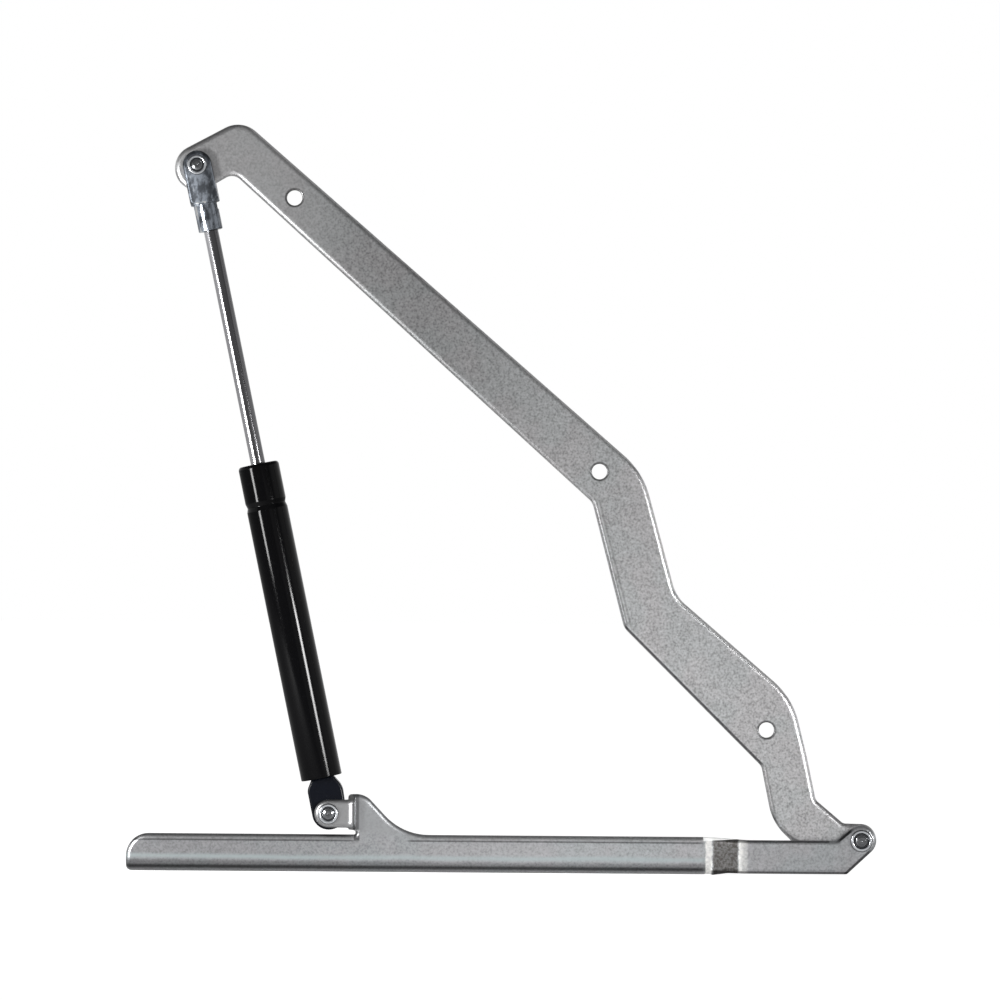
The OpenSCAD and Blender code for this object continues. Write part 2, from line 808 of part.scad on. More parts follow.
// Fork that straddles the arm's head: a block with bevelled edges, and a round neck
module fork_head() {
    block_base = spring_len - fork_block;
    half = fork_w / 2;
    deep = fork_depth / 2;
    tall = fork_block + half;
    color([0.58, 0.60, 0.64])
        on_spring()
            difference() {
                union() {
                    intersection() {
                        union() {
                            cross_bar([0, spring_len], half, -deep, deep);
                            translate([-half, -deep, block_base])
                                cube([fork_w, fork_depth, fork_block]);
                        }
                        translate([0, 0, block_base])
                            linear_extrude(tall)
                                polygon(rounded([[-half, -deep, fork_edge], [half, -deep, fork_edge],
                                    [half, deep, fork_edge], [-half, deep, fork_edge]]));
                        translate([0, 0, block_base])
                            cylinder(r1 = half + fork_corner, r2 = half + fork_corner + tall, h = tall);
                    }
                    translate([0, 0, fork_end])
                        cylinder(d = fork_neck, h = fork_len - fork_block + bite);
                }
                front_prism(-slot_half, slot_half)
                    slot_outline();
                cross_bar([0, spring_len], tip_shank / 2 + fit, -fork_depth, fork_depth);
                translate([0, 0, fork_end - bite])
                    cylinder(r = thread_r + fit, h = thread_len + bite + fit);
            }
}

// Front length of the tip pin with its coined head
module tip_pin_front() {
    from = arm_mid_y - fork_depth / 2;
    color([0.62, 0.63, 0.65]) {
        coined_head(tip_at, from, tip_head / 2, small_head_h);
        cross_bar(tip_at, tip_shank / 2, from - tiny, arm_mid_y - slot_half);
    }
}

// Back length of the tip pin with its pressed tail
module tip_pin_back() {
    to = arm_mid_y + fork_depth / 2;
    color([0.62, 0.63, 0.65]) {
        pressed_tail(tip_at, to, tip_head / 2, small_head_h);
        cross_bar(tip_at, tip_shank / 2, arm_mid_y + slot_half, to + tiny);
    }
}

base_bracket();
pivot_rivet();
pivot_spacer();
pivot_back_washer();
ear_rivet();
ear_front_washer();
ear_back_washer();
lift_arm();
pivot_bush();
tip_bush();
tip_pin_core();
cylinder_tube();
end_plug();
lower_eye();
eye_bush();
rod_guide();
guide_ring();
rod_seal();
seal_support();
spacer_sleeve();
piston_rod();
rebound_washer();
piston();
piston_ring();
piston_nut();
fork_head();
tip_pin_front();
tip_pin_back();
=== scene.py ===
"""Looks of an open lid lift hinge with its gas spring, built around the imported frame."""

import json
import math

import bmesh
import bpy
import numpy as np
from mathutils import Matrix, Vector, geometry


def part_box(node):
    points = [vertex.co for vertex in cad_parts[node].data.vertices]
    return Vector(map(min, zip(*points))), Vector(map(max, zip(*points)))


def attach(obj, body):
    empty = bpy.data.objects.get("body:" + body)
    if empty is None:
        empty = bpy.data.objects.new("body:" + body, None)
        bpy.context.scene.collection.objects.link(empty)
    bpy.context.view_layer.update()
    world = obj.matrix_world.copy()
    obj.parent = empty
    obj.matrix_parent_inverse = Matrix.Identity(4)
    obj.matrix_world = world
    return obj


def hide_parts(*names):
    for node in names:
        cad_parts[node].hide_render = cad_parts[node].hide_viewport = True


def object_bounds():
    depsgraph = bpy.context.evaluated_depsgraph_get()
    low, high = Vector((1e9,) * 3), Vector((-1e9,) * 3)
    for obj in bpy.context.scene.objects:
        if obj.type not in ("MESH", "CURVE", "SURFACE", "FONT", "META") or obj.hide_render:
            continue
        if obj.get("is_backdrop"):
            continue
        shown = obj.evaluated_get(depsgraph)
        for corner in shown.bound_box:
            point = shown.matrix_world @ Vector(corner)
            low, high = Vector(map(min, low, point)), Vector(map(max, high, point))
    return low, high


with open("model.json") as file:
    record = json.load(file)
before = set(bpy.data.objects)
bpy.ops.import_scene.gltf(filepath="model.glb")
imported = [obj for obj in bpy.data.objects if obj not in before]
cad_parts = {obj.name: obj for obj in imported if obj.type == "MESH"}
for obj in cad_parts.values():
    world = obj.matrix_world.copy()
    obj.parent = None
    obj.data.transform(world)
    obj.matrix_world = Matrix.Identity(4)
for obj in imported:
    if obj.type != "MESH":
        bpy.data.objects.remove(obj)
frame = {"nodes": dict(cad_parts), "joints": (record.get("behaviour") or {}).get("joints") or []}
cad_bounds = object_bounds()

bl_info = {
    "name": "Gas spring lift hinge",
    "version": (1, 0, 0),
    "blender": (4, 5, 0),
    "location": "View3D > Sidebar > Lift hinge",
    "description": "Builds the plates, the gas spring, the rivets and the finishes of a lid lift hinge",
    "category": "Object",
}

MM = 0.001
JOINTS = {joint["name"]: joint for joint in frame["joints"]}
PIVOT = np.array(JOINTS["arm_hinge"]["pos_m"])
EAR = np.array(JOINTS["cylinder_hinge"]["pos_m"])
ALONG = np.array(JOINTS["rod_slide"]["axis"]) / np.linalg.norm(JOINTS["rod_slide"]["axis"])
ACROSS = np.array([ALONG[2], 0.0, -ALONG[0]])
DEPTH = np.array([0.0, 1.0, 0.0])


def middle(node):
    """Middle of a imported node's box."""
    low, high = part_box(node)
    return (np.array(low) + np.array(high)) / 2


TIP = middle("tip_pin_core")
SPAN = np.linalg.norm((TIP - EAR)[[0, 2]])


# Outlines

LEAST_RADIUS = 0.02 * MM


def rounded(corners, inset=0.0, steps=10, spacing=0.0):
    """Closed outline of (x, z, radius) corners given anticlockwise.

    Each corner moves inwards along its mitre by the inset, and an arc of its radius,
    less the inset on an outer corner and plus it on an inner one, joins its two edges.
    Straight runs longer than the spacing are divided evenly, alike for every inset.
    """
    corners = np.asarray(corners, float)
    b = corners[:, :2]
    a = np.roll(b, 1, axis=0)
    c = np.roll(b, -1, axis=0)
    before = (b - a) / np.linalg.norm(b - a, axis=1, keepdims=True)
    after = (c - b) / np.linalg.norm(c - b, axis=1, keepdims=True)
    normal_a = np.stack([-before[:, 1], before[:, 0]], axis=1)
    normal_b = np.stack([-after[:, 1], after[:, 0]], axis=1)
    shift = (normal_a + normal_b) / (1 + (normal_a * normal_b).sum(1, keepdims=True))
    turn = np.sign(before[:, 0] * after[:, 1] - before[:, 1] * after[:, 0])
    apex = b + shift * inset
    radius = np.maximum(corners[:, 2] - turn * inset, LEAST_RADIUS)
    half = np.arccos(np.clip(-(before * after).sum(1), -1, 1)) / 2
    inward = after - before
    inward /= np.linalg.norm(inward, axis=1, keepdims=True)
    centre = apex + inward * (radius / np.sin(half))[:, None]
    start = apex - before * (radius / np.tan(half))[:, None] - centre
    end = apex + after * (radius / np.tan(half))[:, None] - centre
    angle = np.arctan2(start[:, 1], start[:, 0])
    sweep = np.arctan2(end[:, 1], end[:, 0]) - angle
    sweep = (sweep + math.pi) % (2 * math.pi) - math.pi
    t = angle[:, None] + sweep[:, None] * np.linspace(0, 1, steps + 1)[None, :]
    arcs = centre[:, None, :] + radius[:, None, None] * np.stack([np.cos(t), np.sin(t)], axis=2)
    if spacing <= 0:
        return arcs.reshape(-1, 2)
    gaps = np.linalg.norm(c - b, axis=1)
    parts = []
    for i, gap in enumerate(gaps):
        count = int(gap / spacing)
        first = arcs[i, -1]
        last = arcs[(i + 1) % len(gaps), 0]
        share = np.arange(1, count + 1)[:, None] / (count + 1)
        parts += [arcs[i], first + (last - first) * share]
    return np.concatenate(parts)


def round_end(centre, radius, start, stop):
    """Two corners whose arcs together make the round end between two tangents, angles in degrees."""
    half = math.radians(stop - start) / 4
    reach = radius / math.cos(half)
    angles = [math.radians(start) + half, math.radians(start) + 3 * half]
    return [(centre[0] + reach * math.cos(a), centre[1] + reach * math.sin(a), radius) for a in angles]


def circle(centre, radius, count):
    """Points of a circle, clockwise, which is how a hole runs."""
    t = -2 * math.pi * np.arange(count) / count
    return np.stack([centre[0] + radius * np.cos(t), centre[1] + radius * np.sin(t)], axis=1)


def in_metres(corners):
    """Corners given in millimetres, carried over to metres."""
    return [(a * MM, b * MM, c * MM) for a, b, c in corners]


def inside(points, loop, clearance):
    """True for the points within the loop that lie further than the clearance from its edges."""
    a = loop
    b = np.roll(loop, -1, axis=0)
    px, py = points[:, 0:1], points[:, 1:2]
    crosses = (a[:, 1] > py) != (b[:, 1] > py)
    rise = np.where(b[:, 1] == a[:, 1], 1e-12, b[:, 1] - a[:, 1])
    at = a[:, 0] + (py - a[:, 1]) * (b[:, 0] - a[:, 0]) / rise
    within = (crosses & (px < at)).sum(1) % 2 == 1
    edge = b - a
    length = np.maximum((edge ** 2).sum(1), 1e-18)
    share = ((px - a[:, 0]) * edge[:, 0] + (py - a[:, 1]) * edge[:, 1]) / length
    share = np.clip(share, 0, 1)
    gap = np.hypot(px - a[:, 0] - share * edge[:, 0], py - a[:, 1] - share * edge[:, 1])
    return within & (gap.min(1) > clearance)


# Meshes

LEAD = 0.25 * MM
OUTER_STEPS = (10, 6)
HOLE_STEPS = (6, 6)
HOLE_SIDES = 64
def new_piece(name, points, faces, sharp=35.0):
    """Object of the given points and faces, with doubles merged and all faces pointing outwards."""
    mesh = bpy.data.meshes.new(name)
    mesh.from_pydata(points, [], faces)
    shape = bmesh.new()
    shape.from_mesh(mesh)
    bmesh.ops.remove_doubles(shape, verts=shape.verts, dist=1e-6)
    bmesh.ops.dissolve_degenerate(shape, edges=shape.edges, dist=1e-7)
    bmesh.ops.recalc_face_normals(shape, faces=shape.faces)
    shape.to_mesh(mesh)
    shape.free()
    mesh.shade_smooth()
    mesh.set_sharp_from_angle(angle=math.radians(sharp))
    piece = bpy.data.objects.new(name, mesh)
    bpy.context.scene.collection.objects.link(piece)
    return piece


def grid_faces(rows, columns, first=0, wrap=True):
    """Quads between neighbouring rows of a grid whose rows may close on themselves."""
    count = columns if wrap else columns - 1
    i = np.arange(rows - 1)[:, None] * columns
    j = np.arange(count)[None, :]
    k = (j + 1) % columns
    quads = np.stack([i + j, i + k, i + columns + k, i + columns + j], axis=2)
    return (quads.reshape(-1, 4) + first).tolist()


def fill(loops, extra=None):
    """Triangles that fill the first loop, less the other loops, through the extra points too."""
    points = np.concatenate(loops + ([extra] if extra is not None and len(extra) else []))
    edges = []
    start = 0
    for loop in loops:
        n = len(loop)
        edges += [(start + i, start + (i + 1) % n) for i in range(n)]
        start += n
    made = geometry.delaunay_2d_cdt([tuple(p / MM) for p in points], edges, [], 1, 1e-5)
    flat = np.array([tuple(p) for p in made[0]]) * MM
    faces = np.array([list(f) for f in made[2]])
    middles = flat[faces].mean(1)
    keep = np.ones(len(faces), bool)
    for loop in loops[1:]:
        keep &= ~inside(middles, loop, 0.0)
    return flat, faces[keep].tolist()


def quarter(width, depth, steps):
    """Quarter of an ellipse: how far in and how far down each ring of a rounded edge lies."""
    a = np.linspace(0, math.pi / 2, steps + 1)
    return np.stack([width * (1 - np.sin(a)), depth * (1 - np.cos(a))], axis=1)


def edge_profile(front, back, half, steps):
    """Rows of inset and height down a sheet's edge: flat lead, front ellipse, back ellipse, flat lead."""
    top = quarter(*front, steps[0])
    low = quarter(*back, steps[1])[::-1]
    return np.concatenate([
        [[front[0] + LEAD, half]],
        np.stack([top[:, 0], half - top[:, 1]], axis=1),
        np.stack([low[:, 0], low[:, 1] - half], axis=1),
        [[back[0] + LEAD, -half]]])


def sheet_piece(name, corners, thickness, place, front, back, holes=(), extra=None, spacing=0.0, steps=10):
    """Sheet of metal with rounded edges, drawn flat and carried into space by a placing function.

    The outline is inset ring by ring along a quarter ellipse on the front edge and on the
    back edge, while the height above the sheet's middle falls along the same ellipse.
    A hole's rings grow in the same way. Both flat faces are filled with triangles.
    """
    half = thickness / 2
    profile = edge_profile(front, back, half, OUTER_STEPS)
    rings = [rounded(corners, inset, steps, spacing) for inset, _ in profile]
    points = [place(ring, np.full(len(ring), height)) for ring, (_, height) in zip(rings, profile)]
    faces = grid_faces(len(profile), len(rings[0]))
    start = sum(len(p) for p in points)
    fronts, backs = [rings[0]], [rings[-1]]
    for centre, radius, roll in holes:
        shape = edge_profile((roll, roll), (roll, roll), half, HOLE_STEPS)
        loops = [circle(centre, radius + grow, HOLE_SIDES) for grow, _ in shape]
        points += [place(loop, np.full(len(loop), height)) for loop, (_, height) in zip(loops, shape)]
        faces += grid_faces(len(shape), HOLE_SIDES, start)
        start += len(shape) * HOLE_SIDES
        fronts.append(loops[0])
        backs.append(loops[-1])
    for loops, height in ((fronts, half), (backs, -half)):
        inner = extra
        if extra is not None:
            inner = extra[inside(extra, loops[0], LEAD)]
            for centre, radius, roll in holes:
                inner = inner[np.hypot(*(inner - centre).T) > radius + roll + 2 * LEAD]
        flat, cap = fill(loops, inner)
        points.append(place(flat, np.full(len(flat), height)))
        faces += [[start + i for i in face] for face in cap]
        start += len(flat)
    return new_piece(name, np.concatenate(points), faces)


def turned_piece(name, profile, place, segments=96, steps=6, sharp=35.0):
    """Closed profile of (radius, height, fillet) corners turned about an axis."""
    line = rounded(profile, steps=steps)
    t = 2 * math.pi * np.arange(segments) / segments
    r = np.maximum(line[:, 0], 0)[:, None]
    x, y = r * np.cos(t), r * np.sin(t)
    z = np.repeat(line[:, 1][:, None], segments, axis=1)
    points = place(x.ravel(), y.ravel(), z.ravel())
    rows = len(line)
    faces = grid_faces(rows, segments)
    last = (rows - 1) * segments
    faces += [[last + i, last + (i + 1) % segments, (i + 1) % segments, i] for i in range(segments)]
    return new_piece(name, points, faces, sharp)


def on_spring(x, y, z):
    """Point from its offsets across the gas spring, away from the viewer and along the spring."""
    return EAR + x[:, None] * ACROSS + y[:, None] * DEPTH + z[:, None] * ALONG


def facing(centre, front):
    """Placing function for a piece turned about Y, its heights counted towards the viewer."""
    def place(x, y, z):
        return np.stack([centre[0] + x, front - z, centre[2] + y], axis=1)
    return place


def paint(thing, finish):
    """Gives an object one material and no other."""
    thing.data.materials.clear()
    thing.data.materials.append(finish)


def ready(piece, body, nodes, finish):
    """Gives a piece its material, lets it ride on its body and hides the nodes it stands for."""
    paint(piece, finish)
    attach(piece, body)
    if nodes:
        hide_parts(*nodes)
    return piece


# Shader maths

class Wire:
    """A socket whose arithmetic adds Math nodes to its material."""

    def __init__(self, finish, socket):
        self.finish = finish
        self.socket = socket

    def math(self, operation, *values):
        """Result of one Math node on the given numbers and sockets."""
        node = self.finish.node("ShaderNodeMath", {"operation": operation}, dict(enumerate(values)))
        return Wire(self.finish, node.outputs[0])

    def __add__(self, other):
        return self.math("ADD", self, other)

    __radd__ = __add__

    def __sub__(self, other):
        return self.math("SUBTRACT", self, other)

    def __rsub__(self, other):
        return self.math("SUBTRACT", other, self)

    def __mul__(self, other):
        return self.math("MULTIPLY", self, other)

    __rmul__ = __mul__

    def __truediv__(self, other):
        return self.math("DIVIDE", self, other)

    def abs(self):
        return self.math("ABSOLUTE", self)

    def root(self):
        return self.math("SQRT", self)

    def at_most(self, limit):
        return self.math("MINIMUM", self, limit)


class Finish:
    """A material under construction, on coordinates of the object."""

    def __init__(self, name, tree=None):
        if tree is None:
            self.material = bpy.data.materials.new(name)
            self.material.use_nodes = True
            tree = self.material.node_tree
        self.tree = tree
        self.tree.nodes.clear()

    def node(self, kind, settings=None, sockets=None):
        """Adds a node, sets its settings, then gives its sockets their values or links."""
        node = self.tree.nodes.new(kind)
        for key, value in (settings or {}).items():
            if key == "stops":
                ramp = node.color_ramp
                while len(ramp.elements) < len(value):
                    ramp.elements.new(0.5)
                for element, (position, colour) in zip(ramp.elements, value):
                    element.position = position
                    element.color = (*colour, 1.0)
            else:
                setattr(node, key, value)
        for key, value in (sockets or {}).items():
            socket = node.inputs[key]
            if isinstance(value, Wire):
                self.tree.links.new(value.socket, socket)
            else:
                socket.default_value = value
        return node

    def out(self, kind, settings=None, sockets=None, output=0):
        """Adds a node and returns one of its outputs."""
        return Wire(self, self.node(kind, settings, sockets).outputs[output])

    def place(self):
        """Object coordinates."""
        return self.out("ShaderNodeTexCoord", output="Object")

    def axes(self):
        """The three object coordinates as numbers, in millimetres."""
        split = self.node("ShaderNodeSeparateXYZ", None, {0: self.shade(self.place(), 1 / MM)})
        return [Wire(self, split.outputs[i]) for i in range(3)]

    def noise(self, size, detail=2.0, rough=0.5, stretch=None):
        """Noise from 0 to 1 whose blotches are about the given size in millimetres."""
        vector = self.place()
        if stretch is not None:
            vector = self.out("ShaderNodeMapping", None, {"Vector": vector, "Scale": stretch})
        sockets = {"Vector": vector, "Scale": 1 / (size * MM), "Detail": detail, "Roughness": rough}
        return self.out("ShaderNodeTexNoise", None, sockets)

    def ease(self, value, low, high):
        """Rises smoothly from 0 at low to 1 at high."""
        settings = {"interpolation_type": "SMOOTHSTEP"}
        return self.out("ShaderNodeMapRange", settings, {"Value": value, "From Min": low, "From Max": high})

    def band(self, value, low, high, soft):
        """1 between low and high, and 0 beyond them, with soft ends."""
        return self.ease(value, low - soft, low + soft) * (1 - self.ease(value, high - soft, high + soft))

    def beside(self, x, z, start, stop):
        """Function for strips beside a straight edge, its two corners in millimetres from the main pivot.

        A strip lies to the left of the edge's run, its middle at the given inset.
        """
        along = np.subtract(stop[:2], start[:2])
        size = float(np.hypot(*along))
        dx, dz = (float(v) for v in along / size)
        u = x - float(PIVOT[0] / MM + start[0])
        v = z - float(PIVOT[2] / MM + start[1])
        off = v * dx - u * dz
        within = self.band(u * dx + v * dz, 0.0, size, 2.0)

        def strip(inset, half, soft):
            return within * self.band(off, inset - half, inset + half, soft)
        return strip

    def blend(self, share, a, b):
        """Mixes two colours."""
        a, b = (tone if isinstance(tone, Wire) else (*tone, 1.0) for tone in (a, b))
        mix = self.node("ShaderNodeMix", {"data_type": "RGBA"}, {0: share, 6: a, 7: b})
        return Wire(self, mix.outputs[2])

    def shade(self, colour, value):
        """Multiplies a colour or a place by a number."""
        made = self.node("ShaderNodeVectorMath", {"operation": "SCALE"}, {0: colour, "Scale": value})
        return Wire(self, made.outputs[0])

    def bump(self, height, depth):
        """Normal bent by a height from 0 to 1 that stands for the given depth in millimetres."""
        return self.out("ShaderNodeBump", None, {"Height": height, "Strength": 1.0, "Distance": depth * MM})

    def finish(self, **sockets):
        """Ends the material with one shader, its sockets named in words."""
        names = {key.replace("_", " ").title().replace("Ior", "IOR"): value for key, value in sockets.items()}
        for key, value in list(names.items()):
            if key == "Base Color" and not isinstance(value, Wire):
                names[key] = (*value, 1.0)
        shader = self.node("ShaderNodeBsdfPrincipled", None, names)
        self.node("ShaderNodeOutputMaterial", None, {"Surface": Wire(self, shader.outputs[0])})
        return self.material


# Finishes, their zones of tint, painted shade and painted highlight, and grain in millimetres

# Painted light and shade along the arm: a lighter head, a darker long run.
HEAD_FADE = (-80, -25)
RUN_SHADE_FADE = (-15, 95)
# Painted shade round the arm's fixing holes.
HOLE_RIM_SHADE = (5.0, 5.7)
LINE_SOFTNESS = 0.25
LEG_FRONT = (-9, -6)
LEG_STOP = (155, 160)
CALM_STOP = (60, 150)
WEB_START = (18, 24)
PALE_BAND = (7.2, 9.6, 1.2)
# Painted shade low on the leg and in its bend.
SHADED_BELOW = (4.9, 7.4)
BEND_SHADE_BAND = (1.8, 3.9, 0.8)
RUN_STOP = (154, 158)
WEB_SPAN = (-36, -6, 2)
# Painted shade along the leg's top edge and in a thin line below it.
TOP_EDGE_SHADE_ABOVE = (17.6, 18.2)
CREASE_SHADE_BAND = (17.1, 18.0, 0.25)
# Painted shade in the slot's corner and on the ear's fold.
SLOT_CORNER_SHADE = ((-36.0, -33.0, 0.4), (17.5, 22.5, 0.6))
EAR_FOLD_SHADE = (-36.6, -33.3, 0.5)
# Painted shade on the step's slope, painted highlights on its bends and along its top edge.
STEP_SLOPE_SHADE = (161.4, 174.9, 0.7)
STEP_BEND_HIGHLIGHTS = ((157.2, 160.9, 0.5), (175.3, 180.2, 0.6))
STEP_HIGHLIGHT_FADE = (175.5, 180.5)
STEP_LEAN = 0.067
STEP_CREST_HIGHLIGHT = (8.08, 8.38)
STEP_CREST_HIGHLIGHT_SPAN = (156.0, 174.0, 0.5)
# Painted shade under the toe and along its top edge.
TOE_START = (160, 161)
TOE_UNDER_SHADE = (2.4, 2.9)
TOE_TOP_SHADE = (18.2, 18.6)
TOE_TOP_SHADE_SPAN = (175, 225, 0.5)
PALE_TINT = (0.57, 0.65, 0.66)
# Colours of painted shade on the top edge, painted highlights at the step, painted shade on its slope and a
# painted highlight along its top edge.
TOP_EDGE_SHADE_TINT = (0.34, 0.32, 0.30)
STEP_HIGHLIGHT_TINT = (0.95, 0.94, 0.91)
STEP_SLOPE_SHADE_TINT = (0.082, 0.075, 0.069)
CREST_HIGHLIGHT_TINT = (0.93, 0.93, 0.92)


def distance(x, z, centre):
    """Distance in the arm's plane from a centre whose own place is in metres."""
    dx = x - float(centre[0] / MM)
    dz = z - float(centre[2] / MM)
    return (dx * dx + dz * dz).root()


def from_tip(x, z, way):
    """How far a point lies from the tip pin in one direction of the gas spring."""
    return (x - float(TIP[0] / MM)) * float(way[0]) + (z - float(TIP[2] / MM)) * float(way[2])


def tones(colour, low, high):
    """A darker and a lighter tone of a colour."""
    return tuple(c * low for c in colour), tuple(min(c * high, 1) for c in colour)


def plated(name, colour, grain, roughness, tint=0.05, depth=0.004, size=1.2, extra=None):
    """Matte zinc plate: fine speckle, broad faint patches of cool and warm tint, and a fine rough skin."""
    f = Finish(name)
    speckle = f.noise(size, 2.0, 0.6)
    coarse = f.noise(size * 3.1, 2.0)
    pits = 1 - f.ease(speckle, 0.36, 0.50)
    patch = f.noise(22, 2.0)
    cool = tuple(c * k for c, k in zip(colour, (1 - tint, 1 + tint * 0.4, 1 + tint * 0.6)))
    warm = tuple(c * k for c, k in zip(colour, (1 + tint * 0.6, 1 - tint * 0.5, 1 - tint * 0.1)))
    base = f.blend(f.ease(patch, 0.38, 0.62), cool, warm)
    level = 1 + (speckle - 0.5) * (1.8 * grain) + (coarse - 0.5) * (0.6 * grain) - pits * (0.22 * grain)
    base = f.shade(base, level)
    rough = roughness + (speckle - 0.5) * 0.08
    metal = 1.0
    if extra:
        base, rough, metal = extra(f, base, rough)
    height = speckle * 0.7 + coarse * 0.3
    return f.finish(base_color=base, metallic=metal, roughness=rough, normal=f.bump(height, depth))


def arm_finish(settings):
    """Zinc plate with a painted lighter head, painted shade along the arm's long run and round its fixing
    holes, and painted highlight and shade lines beside its straight edges.
    """
    def tone(f, base, rough):
        x, _, z = f.axes()
        # Painted light and shade: the head is painted lighter and the long run darker.
        head = 1 - f.ease(x, *HEAD_FADE)
        level = 0.82 - (1 - f.ease(x, *RUN_SHADE_FADE)) * 0.22 + head * 0.13
        base = f.blend(head * 0.5, base, tuple(settings.zinc))
        # Painted shade round the mouths of the fixing holes.
        hole_rim_shade = 0.0
        for across, up in ARM_HOLES:
            hole_rim_shade = hole_rim_shade + (1 - f.ease(distance(x, z, PIVOT + np.array([across, 0, up]) * MM), *HOLE_RIM_SHADE))
        # Painted highlight and painted shade lines beside the straight edges.
        painted_edge_light_and_shade = 0.0
        for (start, stop), bands in arm_painted_edge_lines():
            strip = f.beside(x, z, start, stop)
            for inset, half, change in bands:
                painted_edge_light_and_shade = painted_edge_light_and_shade + strip(inset, half, LINE_SOFTNESS) * change
        return f.shade(base, level * (1 - hole_rim_shade * 0.65) * (1 + painted_edge_light_and_shade)), rough, 1.0
    return plated("arm_zinc", tuple(settings.zinc), settings.grain, 0.37, tint=0.012, extra=tone)


def arm_painted_edge_lines():
    """Straight edges of the arm, with painted highlight and painted shade bands beside each: inset, half
    width and change of brightness.
    """
    tip = (TIP - PIVOT)[[0, 2]] / MM
    apex = tuple(tip + HEAD_APEX[:2])
    turn = math.radians(HEAD_ANGLES[0])
    brow = tuple(tip + (HEAD_RADIUS * math.cos(turn), HEAD_RADIUS * math.sin(turn) - HEAD_DROP))
    notch = tuple(tip + HEAD_NOTCH[:2])
    return [
        ((apex, brow), [(1.6, 1.3, -0.25)]),
        ((ARM_UPPER[5], apex), [(0.3, 0.7, 1.2), (2.0, 0.5, -0.15)]),
        ((ARM_UPPER[3], ARM_UPPER[4]), [(0.5, 0.9, 0.95)]),
        ((notch, ARM_LOWER[0]), [(0.9, 0.5, -0.15), (1.9, 0.6, -0.3)]),
        ((ARM_LOWER[0], ARM_LOWER[1]), [(1.5, 0.8, -0.7), (2.9, 0.4, 0.1), (3.9, 0.5, -0.25)]),
        ((ARM_LOWER[1], ARM_LOWER[2]), [(1.0, 0.6, -0.7), (2.3, 0.5, 0.15)]),
        ((ARM_LOWER[2], ARM_LOWER[3]), [(1.6, 0.9, -0.4)]),
    ]


